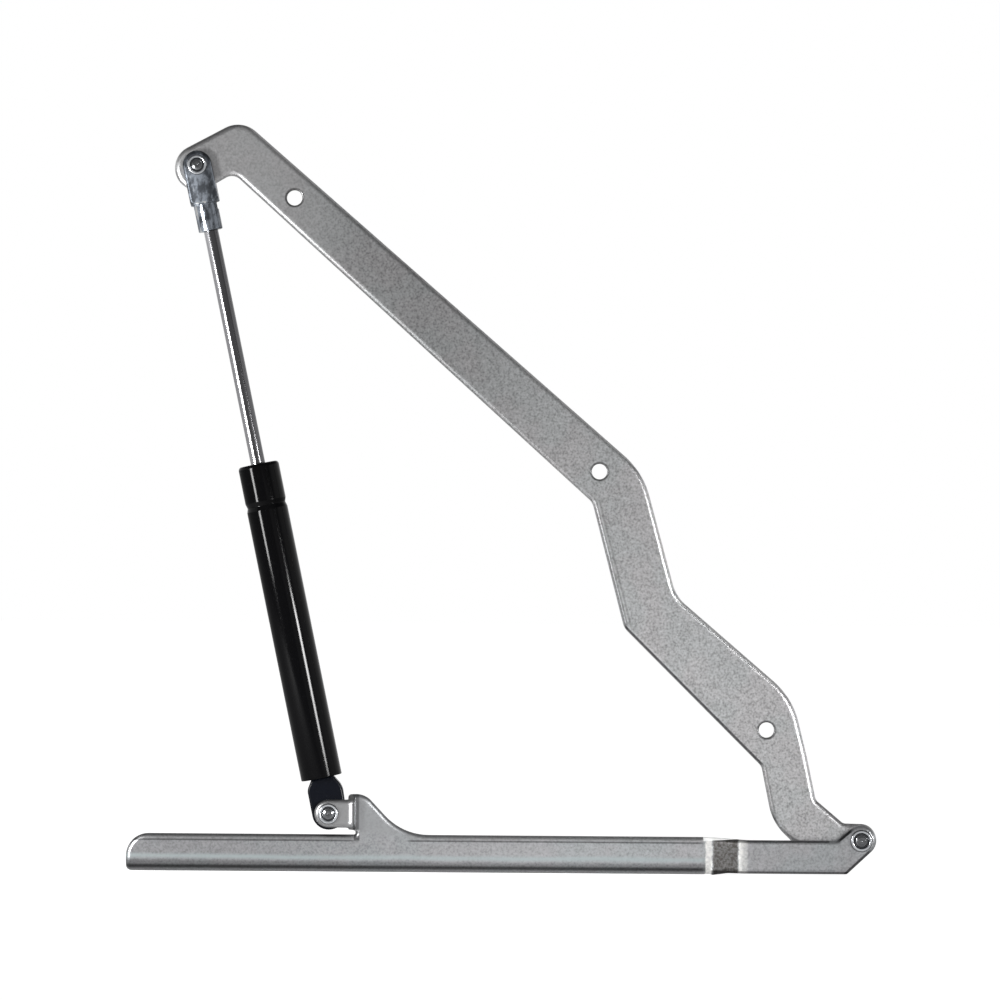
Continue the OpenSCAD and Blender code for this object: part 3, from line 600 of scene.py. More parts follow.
def bracket_finish(settings):
    """Zinc plate with a pale tinted band along the leg, painted shade low on the leg, in its bend, along its
    top edge, towards its ends, in two corners and on the toe's edges, and painted highlights and painted
    shade at its step.
    """
    zinc = tuple(settings.zinc)

    def bands(f, base, rough):
        x, y, z = f.axes()
        height = z + (f.noise(12, 2.0, 0.5, (0.25, 1.0, 1.0)) - 0.5) * 2.2
        leg = (1 - f.ease(y, *LEG_FRONT)) * (1 - f.ease(x, *LEG_STOP))
        calm = 1 - f.ease(x, *CALM_STOP)
        web = f.ease(z, *WEB_START)
        base = f.blend(calm * (0.1 + web * 0.6), base, zinc)
        pale = f.band(height, *PALE_BAND) * leg
        # Painted shade low on the leg, and darker painted shade in the bend.
        shaded = (1 - f.ease(height, *SHADED_BELOW)) * leg
        bend_shade = f.band(z, *BEND_SHADE_BAND) * leg
        run = (1 - f.ease(x, *RUN_STOP)) * (1 - f.band(x, *WEB_SPAN))
        # Painted shade, brown-grey, along the leg's top edge, and a darker painted line where the edge's
        # rounding meets the face.
        rolled = f.ease(z, *TOP_EDGE_SHADE_ABOVE) * leg * run
        crease_shade = f.band(z, *CREASE_SHADE_BAND) * leg * run
        streaks = f.noise(10, 3.0, 0.6, (0.15, 1.0, 1.0))
        base = f.blend(pale * (0.5 + streaks * 0.55), base, PALE_TINT)
        base = f.shade(base, (1 - shaded * 0.36) * (1 - bend_shade * 0.74))
        base = f.blend(rolled * 0.2, base, TOP_EDGE_SHADE_TINT)
        base = f.shade(base, 1 - crease_shade * 0.6)
        # Painted shade towards the leg's left end and a little on the toe, in the slot's corner and on the
        # ear's fold.
        ends = 0.22 + (1 - f.ease(x, -150, 110)) * 0.28 + f.ease(x, 178, 182) * 0.05
        corner = f.band(x, *SLOT_CORNER_SHADE[0]) * f.band(z, *SLOT_CORNER_SHADE[1])
        ear_fold_shade = f.band(x, *EAR_FOLD_SHADE) * f.ease(z, 23, 24)
        base = f.shade(base, (1 - ends * (1 - pale * 0.35)) * (1 - ear_fold_shade * 0.5) * (1 - corner * 0.6))
        # Painted shade on the step's slope, dark brown and mottled, between painted highlights on its two
        # bends.
        ragged = x + (f.noise(2.6, 3.0, 0.7) - 0.5) * 2.4
        patch = f.band(ragged, *STEP_SLOPE_SHADE)
        step_mottle = f.ease(f.noise(1.4, 2.0, 0.6), 0.36, 0.64)
        left, right = (f.band(ragged, *band) for band in STEP_BEND_HIGHLIGHTS)
        step_bend_highlight = (left + right * (1 - f.ease(x, *STEP_HIGHLIGHT_FADE) * 0.6)) * (0.6 + step_mottle * 0.4)
        base = f.blend(step_bend_highlight * 0.9, base, STEP_HIGHLIGHT_TINT)
        base = f.blend(patch * (0.97 - step_mottle * 0.22), base, STEP_SLOPE_SHADE_TINT)
        # Painted highlight along the step's top edge.
        step_crest_highlight = f.ease(z - x * STEP_LEAN, *STEP_CREST_HIGHLIGHT) * f.band(x, *STEP_CREST_HIGHLIGHT_SPAN)
        base = f.blend(step_crest_highlight * 0.9, base, CREST_HIGHLIGHT_TINT)
        # Painted shade under the toe, beside its two slanted edges and along its top edge.
        under = (1 - f.ease(z, *TOE_UNDER_SHADE)) * f.ease(x, *TOE_START)
        slope = f.beside(x, z, *TOE_SLOPE_SHADE_LINE)(0.7, 0.9, LINE_SOFTNESS)
        ramp = f.beside(x, z, *TOE_RAMP_SHADE_LINE)(0.6, 0.7, LINE_SOFTNESS)
        top = f.ease(z, *TOE_TOP_SHADE) * f.band(x, *TOE_TOP_SHADE_SPAN)
        base = f.shade(base, 1 - (under * 0.62 + slope * 0.75 + ramp * 0.9 + top * 0.55).at_most(0.92))
        # Painted highlights are also made less metallic.
        return base, rough, 1 - (step_crest_highlight * 0.9 + step_bend_highlight * 0.5).at_most(0.95)
    return plated("bracket_zinc", zinc, settings.grain, 0.36, tint=0.015, depth=0.0006, extra=bands)


def bright_finish(name, colour, roughness, size=0.7, depth=0.0015):
    """Bright plate or turned metal, with a faint uneven gloss."""
    f = Finish(name)
    fine = f.noise(size, 2.0, 0.6)
    patch = f.noise(size * 9, 1.0)
    base = f.shade(f.blend(patch, *tones(colour, 0.94, 1.05)), 0.96 + fine * 0.08)
    rough = roughness + (patch - 0.5) * (roughness * 0.6)
    return f.finish(base_color=base, metallic=1.0, roughness=rough, normal=f.bump(fine, depth))


def rivet_finish(name, colour, centre, radius):
    """Bright steel, with painted shade in the groove round the dome, at the foot of the coined ring and over
    the dome.

    The centre and the radius of the head are in metres.
    """
    f = Finish(name)
    x, _, z = f.axes()
    out = distance(x, z, centre) / (radius / MM)
    fine = f.noise(0.8, 2.0)
    # Painted shade in the groove round the dome, at the foot of the coined ring and over the dome.
    groove = f.band(out, 0.54, 0.70, 0.05)
    foot = f.ease(out, 0.90, 0.95)
    dome = 1 - f.ease(out, 0.44, 0.54)
    level = (0.9 + fine * 0.2) * (1 - groove * 0.85) * (1 - foot * 0.8) * (1 - dome * 0.75)
    base = f.shade(f.blend(fine, *tones(colour, 0.95, 1.0)), level)
    return f.finish(base_color=base, metallic=1.0, roughness=0.16 + fine * 0.08, normal=f.bump(fine, 0.0008))


def fork_finish(settings):
    """Blue zinc plate with darker smears where the block was milled, and painted highlights and painted shade
    on its block and its neck.
    """
    f = Finish("fork_zinc")
    x, _, z = f.axes()
    across = from_tip(x, z, ACROSS)
    along = from_tip(x, z, ALONG)
    smear = f.ease(f.noise(3.6, 3.0, 0.6, (1.0, 1.0, 0.6)), 0.40, 0.62)
    fine = f.noise(0.8, 2.0)
    base = f.blend(smear, *tones(tuple(settings.fork), 0.45, 1.35))
    # Painted highlight on a line along the block's left chamfer, and painted shade towards its right side.
    chamfer = f.band(across, -5.4, -4.2, 0.3)
    level = 0.8 + fine * 0.4 - f.ease(across, -1, 7) * 0.55 + chamfer * 0.3
    # Painted shade on the neck, with a painted reflection lightening the neck's left edge.
    neck = 1 - f.ease(along, -22.6, -21.8)
    level = level * (1 - neck * 0.45 + neck * (1 - f.ease(across, -5.6, -4.6)) * 1.6)
    # Painted highlight in a band across the block's lower end, and painted shade in a crescent over its round
    # top.
    shoulder_highlight = f.band(along, -21.4, -20.4, 0.3) * f.ease(fine, 0.42, 0.55)
    crown_shade = f.ease((across * across + along * along).root(), 5.4, 6.6) * f.ease(along, -2, 2)
    base = f.shade(base, level * (1 - crown_shade * 0.72) * (1 + shoulder_highlight * 1.2))
    # The left half is painted lighter and the block's left edge painted darker.
    side = 1 - f.ease(across, -6.4, -5.4)
    base = f.shade(base, 1 + (1 - f.ease(across, -4.0, 0.5)) * 0.35 - side * 0.85)
    rough = 0.15 + smear * 0.08 + side * (1 - neck) * 0.3
    normal = f.bump(fine * 0.4 + smear * 0.6, 0.008)
    return f.finish(base_color=base, metallic=1.0, roughness=rough, normal=normal)


def lacquer(name, colour, roughness, peel, gloss):
    """Black lacquer with a slight orange peel and a little dust in its gloss."""
    f = Finish(name)
    skin = f.noise(1.6, 2.0, 0.4)
    dust = f.ease(f.noise(0.9, 2.0), 0.60, 0.75)
    base = f.blend(dust * 0.12, colour, tuple(c * 3 + 0.01 for c in colour))
    return f.finish(base_color=base, metallic=0.0, roughness=roughness + dust * 0.08,
                    specular_ior_level=gloss, normal=f.bump(skin, peel))


def chrome_finish(settings):
    """Hard chrome, ground round the rod: fine rings along it in roughness and colour, and a painted
    reflection that lightens its left side.
    """
    f = Finish("rod_chrome")
    x, _, z = f.axes()
    run = x * float(ALONG[0]) + z * float(ALONG[2])
    rings = f.out("ShaderNodeTexNoise", {"noise_dimensions": "1D"}, {"W": run, "Scale": 2.2, "Detail": 2.0})
    wear = f.noise(6, 2.0)
    # Painted reflection: the rod's left side is painted lighter.
    rim_reflection = 1 - f.ease(from_tip(x, z, ACROSS), -1.7, -1.1)
    base = f.shade(f.blend(wear, *tones(tuple(settings.chrome), 0.95, 1.0)), 0.94 + rings * 0.1)
    base = f.shade(base, 1 + rim_reflection * 3.5)
    rough = 0.15 + rings * 0.08
    return f.finish(base_color=base, metallic=1.0, roughness=rough, normal=f.bump(rings, 0.0006))


def moulded(name, colour, roughness, size=0.8, depth=0.01):
    """Rubber or plastic with a fine grain."""
    f = Finish(name)
    grain = f.noise(size, 3.0)
    base = f.shade(f.blend(grain, *tones(colour, 0.85, 1.1)), 0.98 + grain * 0.04)
    rough = roughness + (grain - 0.5) * 0.15
    return f.finish(base_color=base, metallic=0.0, roughness=rough, normal=f.bump(grain, depth))


# Settings

def length(name, description, value):
    """Length in metres."""
    return bpy.props.FloatProperty(name=name, description=description, default=value, min=0.0, unit="LENGTH")


def amount(name, description, value):
    """Number from zero upwards."""
    return bpy.props.FloatProperty(name=name, description=description, default=value, min=0.0)


def speckle(value):
    """Strength of a plating's speckle, from 0 to 1."""
    return bpy.props.FloatProperty(name="Grain", description="Strength of the plating's speckle",
                                   default=value, min=0.0, max=1.0)


def colour(name, description, value):
    """Linear colour."""
    return bpy.props.FloatVectorProperty(name=name, description=description, default=value, min=0.0, max=1.0,
                                         size=3, subtype="COLOR")


class ArmSettings(bpy.types.PropertyGroup):
    edge_width: length("Edge width", "Width of the rounding along the arm's edges", 3.0 * MM)
    edge_depth: length("Edge depth", "Depth of the rounding along the arm's edges", 2.7 * MM)
    hole_roll: length("Hole roll", "Rounding at the mouths of the fixing holes", 0.8 * MM)
    grain: speckle(0.58)
    zinc: colour("Zinc", "Colour of the arm's plating", (0.65, 0.65, 0.656))


class BracketSettings(bpy.types.PropertyGroup):
    edge_width: length("Edge width", "Width of the rounding along the bracket's front edges", 2.8 * MM)
    edge_depth: length("Edge depth", "Depth of the rounding along the bracket's front edges", 2.5 * MM)
    bend_radius: length("Bend radius", "Outer radius of the bend between leg and flange", 7.0 * MM)
    step_radius: length("Step radius", "Middle radius of the bends at the step", 5.0 * MM)
    grain: speckle(0.40)
    zinc: colour("Zinc", "Colour of the bracket's plating", (0.60, 0.608, 0.622))


class SpringSettings(bpy.types.PropertyGroup):
    tube: colour("Tube", "Colour of the tube's lacquer", (0.0012, 0.0012, 0.0015))
    eye: colour("Eye", "Colour of the eye's lacquer", (0.0012, 0.0018, 0.004))
    chrome: colour("Chrome", "Colour of the rod", (0.13, 0.13, 0.135))
    fork: colour("Fork", "Colour of the fork's blue zinc", (0.42, 0.46, 0.52))


class RivetSettings(bpy.types.PropertyGroup):
    steel: colour("Steel", "Colour of the rivets", (0.70, 0.72, 0.75))
    fillet: length("Fillet", "Rounding of the coined rings", 0.34 * MM)


class StageSettings(bpy.types.PropertyGroup):
    floor: colour("Floor", "Colour of the floor", (0.62, 0.62, 0.62))
    glow: amount("Floor glow", "Brightness of the floor in the hinge's gloss", 0.28)
    left: amount("Left lamp", "Brightness of the small left lamp's face", 70.0)
    right: amount("Right lamp", "Brightness of the right lamp's face", 190.0)
    low: amount("Low softbox", "Brightness of the softbox low on the right", 0.4)
    front: amount("Front", "Brightness of the room in front of the hinge", 0.40)
    sky: amount("Sky", "Brightness of the room above and beside the hinge", 0.18)
    walls: amount("Walls", "Brightness of the side walls in the hinge's gloss", 1.0)
    ceiling: amount("Ceiling", "Brightness of the ceiling in the hinge's gloss", 0.20)


# Stage

MILLIMETRES_PER_PIXEL = 0.55
IMAGE_SIZE = 1000
IMAGE_CENTRE = (42.9 * MM, 205.3 * MM)
IMAGE_ROLL = 0.42
CAMERA_DISTANCE = 3.0


def add_camera():
    """Camera square on to the arm, so far off that one pixel is a fixed length on it."""
    data = bpy.data.cameras.new("camera")
    width = IMAGE_SIZE * MILLIMETRES_PER_PIXEL * MM
    data.sensor_width = 36.0
    data.lens = data.sensor_width * CAMERA_DISTANCE / width
    data.clip_end = 50.0
    camera = bpy.data.objects.new("camera", data)
    camera.location = (IMAGE_CENTRE[0], PIVOT[1] - CAMERA_DISTANCE, IMAGE_CENTRE[1])
    camera.rotation_euler = (math.radians(90), math.radians(-IMAGE_ROLL), 0)
    bpy.context.scene.collection.objects.link(camera)
    bpy.context.scene.camera = camera


def add_light(name, place, aim, size, brightness, half_beam=90.0):
    """Area light of the given width and height that faces its aim, within half a beam in degrees.

    Its power is pi times brightness times area, times 1 less the ratio of the half beam to
    its tangent, so that the brightness seen from straight ahead doesn't depend on the beam.
    """
    data = bpy.data.lights.new(name, "AREA")
    data.shape = "RECTANGLE"
    data.size, data.size_y = size
    data.energy = math.pi * brightness * size[0] * size[1]
    if half_beam < 90:
        beam = math.radians(half_beam)
        data.spread = 2 * beam
        data.energy *= 1 - beam / math.tan(beam)
    light = bpy.data.objects.new(name, data)
    light.visible_camera = False
    bpy.context.scene.collection.objects.link(light)
    back = np.array(place, float) - np.array(aim, float)
    back /= np.linalg.norm(back)
    side = np.cross([0.0, 0.0, 1.0], back)
    side /= np.linalg.norm(side)
    up = np.cross(back, side)
    matrix = np.eye(4)
    matrix[:3, 0], matrix[:3, 1], matrix[:3, 2], matrix[:3, 3] = side, up, back, place
    light.matrix_world = Matrix(matrix.tolist())
    return light


def seen(f):
    """1 for rays from the camera or through glass, and 1 for rays from a glossy surface."""
    path = f.node("ShaderNodeLightPath")
    camera = Wire(f, path.outputs["Is Camera Ray"])
    clear = camera.math("MAXIMUM", camera, Wire(f, path.outputs["Is Transmission Ray"]))
    return clear, Wire(f, path.outputs["Is Glossy Ray"])


def add_floor(settings):
    """Flat pale floor that takes a soft shadow and shows near white to the camera."""
    reach = 6.0
    corners = np.array([[-reach, -reach, 0], [reach, -reach, 0], [reach, reach, 0], [-reach, reach, 0]])
    corners[:, 2] -= 0.2 * MM
    mesh = bpy.data.meshes.new("floor")
    mesh.from_pydata(corners, [], [[0, 1, 2, 3]])
    floor = bpy.data.objects.new("floor", mesh)
    bpy.context.scene.collection.objects.link(floor)
    f = Finish("floor")
    clear, gloss = seen(f)
    strength = clear.math("MAXIMUM", clear * 0.90, gloss * settings.glow)
    glow = f.node("ShaderNodeEmission", None, {"Color": (1, 1, 1, 1), "Strength": strength})
    matte = f.node("ShaderNodeBsdfDiffuse", None, {"Color": (*settings.floor, 1.0)})
    both = f.node("ShaderNodeAddShader", None, {0: Wire(f, glow.outputs[0]), 1: Wire(f, matte.outputs[0])})
    f.node("ShaderNodeOutputMaterial", None, {"Surface": Wire(f, both.outputs[0])})
    mesh.materials.append(f.material)
    floor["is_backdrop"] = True


def add_world(settings):
    """Dim soft light all round, white to the camera. Gloss sees a white backdrop, walls and a ceiling."""
    world = bpy.data.worlds.new("studio")
    world.use_nodes = True
    bpy.context.scene.world = world
    f = Finish("studio", world.node_tree)
    way = f.node("ShaderNodeSeparateXYZ", None, {0: f.out("ShaderNodeTexCoord", output="Generated")})
    sideways, along, upwards = [Wire(f, way.outputs[i]) for i in range(3)]
    low = 1 - f.ease(upwards, 0.25, 0.60)
    behind = f.ease(along, 0.15, 0.55) * low
    clear, gloss = seen(f)
    white = clear.math("MAXIMUM", clear, gloss * behind)
    ahead = f.ease(-1.0 * along, 0.30, 0.90)
    walls = f.ease(sideways.abs(), 0.78, 0.92) * low * gloss
    ceiling = (1 - low) * (1 - ahead) * gloss
    room = settings.sky + ahead * (settings.front - settings.sky)
    room = room + walls * (settings.walls - settings.sky) + ceiling * (settings.ceiling - settings.sky)
    level = white + (1 - white) * room
    sky = f.node("ShaderNodeBackground", None, {"Color": (1, 1, 1, 1), "Strength": level})
    f.node("ShaderNodeOutputWorld", None, {"Surface": Wire(f, sky.outputs[0])})


class HINGE_OT_stage(bpy.types.Operator):
    """Sets up the camera, the lights, the floor and the surroundings"""

    bl_idname = "lift_hinge.stage"
    bl_label = "Stage"

    def execute(self, context):
        settings = context.scene.hinge_stage
        context.scene.view_settings.view_transform = "Standard"
        add_camera()
        add_light("left_lamp", (-0.50, -0.44, 0.19), (-0.08, 0, 0.15), (0.10, 0.225), settings.left)
        add_light("right_lamp", (0.82, -0.96, 0.20), (-0.05, 0, 0.03), (0.27, 0.20), settings.right, 10.0)
        add_light("low_softbox", (0.45, -1.10, 0.05), (0.15, 0, 0.1), (0.6, 0.6), settings.low)
        add_world(settings)
        add_floor(settings)
        return {"FINISHED"}


# Lift arm

ARM_UPPER = [(-9.5, 9.0, 4), (-24.7, 21.8, 5), (-29.9, 46, 60), (-37.9, 78, 43), (-102.4, 133.3, 22),
             (-121, 201.4, 45)]
ARM_LOWER = [(-148.7, 184.5, 9), (-130.8, 115.6, 10), (-54.8, 40.2, 6), (-48.5, 9.2, 30), (-36, -2.7, 10),
             (-26, -8.6, 12)]
ARM_HOLES = [(-313.7, 350.8), (-145.0, 201.5), (-52.2, 60.1)]
ARM_FOOT = 8.6
ARM_HOLE_RADIUS = 4.25
HEAD_RADIUS = 12.6
HEAD_DROP = 1.1
HEAD_APEX = (24.1, 25.8, 15)
HEAD_NOTCH = (19.7, -4.1, 6.4)
HEAD_ANGLES = (119, 300)


def arm_corners():
    """Outline of the arm, anticlockwise from the foot along the upper edge and back along the lower."""
    def from_pivot(corner):
        return (PIVOT[0] + corner[0] * MM, PIVOT[2] + corner[1] * MM, corner[2] * MM)

    def from_tip(corner):
        return (TIP[0] + corner[0] * MM, TIP[2] + corner[1] * MM, corner[2] * MM)

    foot = round_end((PIVOT[0], PIVOT[2]), ARM_FOOT * MM, -90, 90)
    head = round_end((TIP[0], TIP[2] - HEAD_DROP * MM), HEAD_RADIUS * MM, *HEAD_ANGLES)
    return ([foot[1]] + [from_pivot(c) for c in ARM_UPPER] + [from_tip(HEAD_APEX)] + head
            + [from_tip(HEAD_NOTCH)] + [from_pivot(c) for c in ARM_LOWER] + [foot[0]])


class HINGE_OT_arm(bpy.types.Operator):
    """Builds the cranked arm plate with its rounded edges and fixing holes"""

    bl_idname = "lift_hinge.arm"
    bl_label = "Lift arm"

    def execute(self, context):
        settings = context.scene.hinge_arm
        low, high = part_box("lift_arm")
        centre = (low[1] + high[1]) / 2

        def place(flat, height):
            return np.stack([flat[:, 0], centre - height, flat[:, 1]], axis=1)

        edge = (settings.edge_width, settings.edge_depth)
        holes = [((PIVOT[0] + x * MM, PIVOT[2] + z * MM), ARM_HOLE_RADIUS * MM, settings.hole_roll)
                 for x, z in ARM_HOLES]
        for node, axis in (("pivot_bush", PIVOT), ("tip_bush", TIP)):
            lowest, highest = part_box(node)
            holes.append(((axis[0], axis[2]), (highest[0] - lowest[0]) / 2 + 0.05 * MM, 0.2 * MM))
        back = (2.0 * MM, 1.9 * MM)
        piece = sheet_piece("arm_plate", arm_corners(), high[1] - low[1], place, edge, back, holes, steps=14)
        ready(piece, "arm", ["lift_arm"], arm_finish(settings))
        return {"FINISHED"}


# Base bracket

SHEET = 4.0
SHEET_FRONT = -16.0
LEG_TOP = 20.8
LEG_END = 161.5
LEG_CORNER = 12.5
FLANGE_BACK = 12.0
FLANGE_STOP = 158.5
FLANGE_CORNER = 6.0
SCREWS = (-140, -48, 48, 140)
SCREW_RADIUS = 3.25
STEP_START = 157.6
STEP_END = 180.8
STEP_INSET = 3.0
STEP_DEPTH = 6.0
TOE_TOP = 19.6
TOE_RISE = 1.2
TOE_RADIUS = 8.3
TOE_ANGLES = (-47, 130)
# Ends of the toe's two slanted edges, in millimetres from the main pivot, where lines of painted shade run.
TOE_SLOPE_SHADE_LINE = ((-7.95, -18.6), (5.66, -6.07))
TOE_RAMP_SHADE_LINE = ((-5.34, 6.36), (-13.16, -0.2))
EAR_RADIUS = 7.7
EAR_BEND = 2.2
EAR_RISER = 2.6
WEB_EDGE = -34.97
WEB_TOP = 43.0
WEB_FLAT = 5.0
WEB_FOOT = -9.27
WEB_CREST = 11.0
WEB_VALLEY = 33.0


class BracketShape:
    """Flat pattern of the bracket, and how its sheet is bent into place.

    The pattern's first coordinate runs along X and its second is the height, which goes on
    below zero round the bend and out along the flange. The ear's sheet follows a quarter
    circle, a straight riser and another quarter circle towards the viewer, and the right
    end follows two shallower bends.
    """

    def __init__(self, settings):
        low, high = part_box("base_bracket")
        self.sheet = SHEET * MM
        self.middle = SHEET_FRONT * MM + self.sheet / 2
        self.outer = settings.bend_radius
        self.radius = self.outer - self.sheet / 2
        self.step_radius = settings.step_radius
        self.ear_shift = (math.pi - 2) * EAR_BEND + EAR_RISER
        self.flange_low = -(self.radius * math.pi / 2 + FLANGE_BACK * MM - self.middle - self.radius)

    def flat_height(self, z):
        """Second coordinate of the pattern for a height above the furniture."""
        return z * MM - self.outer

    def toe_tangent(self, angle, height):
        """X at which the toe's tangent at an angle in degrees meets a height, in millimetres."""
        turn = math.radians(angle)
        above = PIVOT[2] / MM + TOE_RADIUS * math.sin(turn) - height
        return PIVOT[0] / MM + TOE_RADIUS * math.cos(turn) - above / math.tan(turn + math.pi / 2)

    def corners(self):
        """Outline of the pattern, anticlockwise from the flange's back left corner."""
        rise = self.flat_height
        pivot = (PIVOT[0], PIVOT[2] - self.outer)
        toe = round_end(pivot, TOE_RADIUS * MM, *TOE_ANGLES)
        low_x = self.toe_tangent(TOE_ANGLES[0], TOE_RISE)
        high_x = self.toe_tangent(TOE_ANGLES[1], TOE_TOP)
        ear_x = EAR[0] / MM - self.ear_shift
        ear = round_end((ear_x * MM, EAR[2] - self.outer), EAR_RADIUS * MM, 90, 270)
        ear_top = EAR[2] / MM + EAR_RADIUS
        ear_low = EAR[2] / MM - EAR_RADIUS
        left = -LEG_END
        inner = (WEB_EDGE - 0.2) * MM
        return [
            (left * MM, self.flange_low, FLANGE_CORNER * MM),
            (FLANGE_STOP * MM, self.flange_low, FLANGE_CORNER * MM),
            (FLANGE_STOP * MM, rise(-1.5), 1.0 * MM),
            (LEG_END * MM, rise(0), 1.0 * MM),
            (LEG_END * MM + 7.7 * MM, rise(TOE_RISE), 6.0 * MM),
            (low_x * MM, rise(TOE_RISE), 2.0 * MM),
            *toe,
            (high_x * MM, rise(TOE_TOP), 4.0 * MM),
            (STEP_END * MM, rise(TOE_TOP), 20.0 * MM),
            (STEP_START * MM, rise(LEG_TOP), 20.0 * MM),
            (WEB_FOOT * MM, rise(LEG_TOP), WEB_VALLEY * MM),
            ((WEB_EDGE + WEB_FLAT) * MM, rise(WEB_TOP), WEB_CREST * MM),
            ((WEB_EDGE - 2.0) * MM, rise(WEB_TOP), 3.0 * MM),
            ((WEB_EDGE - 2 * EAR_BEND - self.ear_shift) * MM, rise(ear_top), 5.0 * MM),
            *ear,
            ((WEB_EDGE - 10.5) * MM, rise(ear_low), 4.0 * MM),
            (inner, rise(LEG_TOP + 2.2), 1.0 * MM),
            (inner, rise(LEG_TOP), 0.9 * MM),
            (left * MM, rise(LEG_TOP), LEG_CORNER * MM)]

    def step(self, x):
        """How far the sheet's middle lies forward at x, and the slope there: arc, straight, arc."""
        first = (STEP_START + STEP_INSET) * MM
        last = (STEP_END - STEP_INSET) * MM
        lean = math.atan2(STEP_DEPTH * MM, last - first)
        r = self.step_radius
        tangent = r * math.tan(lean / 2)
        run = r * math.sin(lean)
        a = np.clip(x - (first - tangent), 0, run)
        b = np.clip((last + tangent) - x, 0, run)
        straight = np.clip(x, first - tangent + run, last + tangent - run) - (first - tangent + run)
        depth = (r - np.sqrt(r * r - a * a)) + straight * math.tan(lean)
        depth += (r - math.sqrt(r * r - run * run)) - (r - np.sqrt(r * r - b * b))
        slope = np.minimum(a, b) / np.sqrt(r * r - np.minimum(a, b) ** 2)
        return depth, slope

    def place(self, flat, height):
        """Carries points of the pattern into space, each at its height in front of the sheet's middle."""
        u, s = flat[:, 0], flat[:, 1]
        quarter_run = self.radius * math.pi / 2
        turn = np.clip(-s / self.radius, 0, math.pi / 2)
        out = np.maximum(-s - quarter_run, 0)
        bent_y = self.radius * (1 - np.cos(turn)) + out
        bent_z = np.where(s > 0, self.outer + s, self.outer - self.radius * np.sin(turn))
        plain = np.clip((u / MM - FLANGE_STOP) / (LEG_END - FLANGE_STOP), 0, 1)
        plain = plain * plain * (3 - 2 * plain)
        y = self.middle + bent_y * (1 - plain)
        z = bent_z * (1 - plain) + (self.outer + s) * plain
        normal_y = -np.cos(turn) * (1 - plain) - plain
        normal_z = -np.sin(turn) * (1 - plain)
        size = np.hypot(normal_y, normal_z)
        normal_y, normal_z = normal_y / size, normal_z / size
        depth, slope = self.step(u)
        lean = 1 / np.sqrt(1 + slope ** 2)
        x = u - height * slope * lean
        front = y - depth + height * normal_y * lean
        up = z + height * normal_z
        ear = (s > self.flat_height(LEG_TOP + 0.6)) & (u < WEB_EDGE * MM)
        run = (WEB_EDGE * MM - u) / (EAR_BEND * MM)
        riser = EAR_RISER / EAR_BEND
        first = np.clip(run, 0, math.pi / 2)
        rise = np.clip(run - math.pi / 2, 0, riser)
        second = np.clip(run - math.pi / 2 - riser, 0, math.pi / 2)
        rest = np.maximum(run - math.pi - riser, 0)
        ear_x = WEB_EDGE * MM - EAR_BEND * MM * (np.sin(first) + 1 - np.cos(second) + rest)
        ear_y = self.middle - EAR_BEND * MM * (1 - np.cos(first) + rise + np.sin(second))
        normal_x = np.sin(first) * np.cos(second)
        normal_y = -np.where(second > 0, np.sin(second), np.cos(first))
        x = np.where(ear, ear_x + height * normal_x, x)
        front = np.where(ear, ear_y + height * normal_y, front)
        return np.stack([x, front, up], axis=1)

    def grid(self):
        """Extra points of the pattern, close together where the sheet bends."""
        xs = np.concatenate([np.arange(-160, 246, 7.0), np.arange(155.5, 183, 0.7),
                             np.arange(-50, -33, 0.4)]) * MM
        low = self.flange_low / MM
        ss = np.concatenate([np.arange(low, -9.0, 3.0), np.arange(-8.6, 0.7, 0.55),
                             np.arange(2, 40, 2.2)]) * MM
        x, s = np.meshgrid(np.unique(np.round(xs, 7)), np.unique(np.round(ss, 7)))
        return np.stack([x.ravel(), s.ravel()], axis=1)


class HINGE_OT_bracket(bpy.types.Operator):
    """Builds the stamped base bracket with its flange, web, ear and stepped right end"""

    bl_idname = "lift_hinge.bracket"
    bl_label = "Base bracket"

    def execute(self, context):
        settings = context.scene.hinge_bracket
        shape = BracketShape(settings)
        front = (settings.edge_width, settings.edge_depth)
        back = (0.6 * MM, 0.6 * MM)
        screw_line = -(shape.radius * math.pi / 2 - shape.middle - shape.radius)
        holes = [((x * MM, screw_line), SCREW_RADIUS * MM, 0.4 * MM) for x in SCREWS]
        piece = sheet_piece("bracket_sheet", shape.corners(), shape.sheet, shape.place, front, back, holes,
                            shape.grid(), spacing=1.4 * MM)
        ready(piece, "base", ["base_bracket"], bracket_finish(settings))
        return {"FINISHED"}


# Rivets

COINED = [(1.0, 0.0, 0), (1.0, 0.62, 1), (0.87, 1.0, 1.6), (0.74, 0.95, 1), (0.62, 0.32, 0.8),
          (0.55, 0.32, 0.8), (0.50, 0.72, 1), (0.30, 1.0, 2.5), (0.10, 0.98, 1), (0.0, 0.80, 0)]
PRESSED = [(1.0, 0.0, 0), (1.0, 0.4, 1), (0.72, 1.0, 1), (0.0, 1.0, 0)]


def rivet_profile(head, head_height, shank, tail, tail_height, grip, fillet):
    """Corners of a riveted pin from its tail's middle round to its head's middle."""
    back = [(r * tail, -grip - h * tail_height, f * fillet) for r, h, f in reversed(PRESSED)]
    front = [(r * head, h * head_height, f * fillet) for r, h, f in COINED]
    body = [(shank, -grip, 0), (shank, 0.0, 0)]
    if tail <= 0:
        back = [(0.0, -grip, 0)]
    return back + body + front


def add_rivet(name, centre, radii, heights, ends, nodes, body, settings):
    """Turns one riveted pin about Y between the faces that it holds together."""
    head, shank, tail = radii
    front, back = ends
    profile = rivet_profile(head, heights[0], shank, tail, heights[1], back - front, settings.fillet)
    piece = turned_piece(name, profile, facing(centre, front), sharp=50.0)
    finish = rivet_finish(name + "_steel", tuple(settings.steel), centre, head)
    return ready(piece, body, nodes, finish)


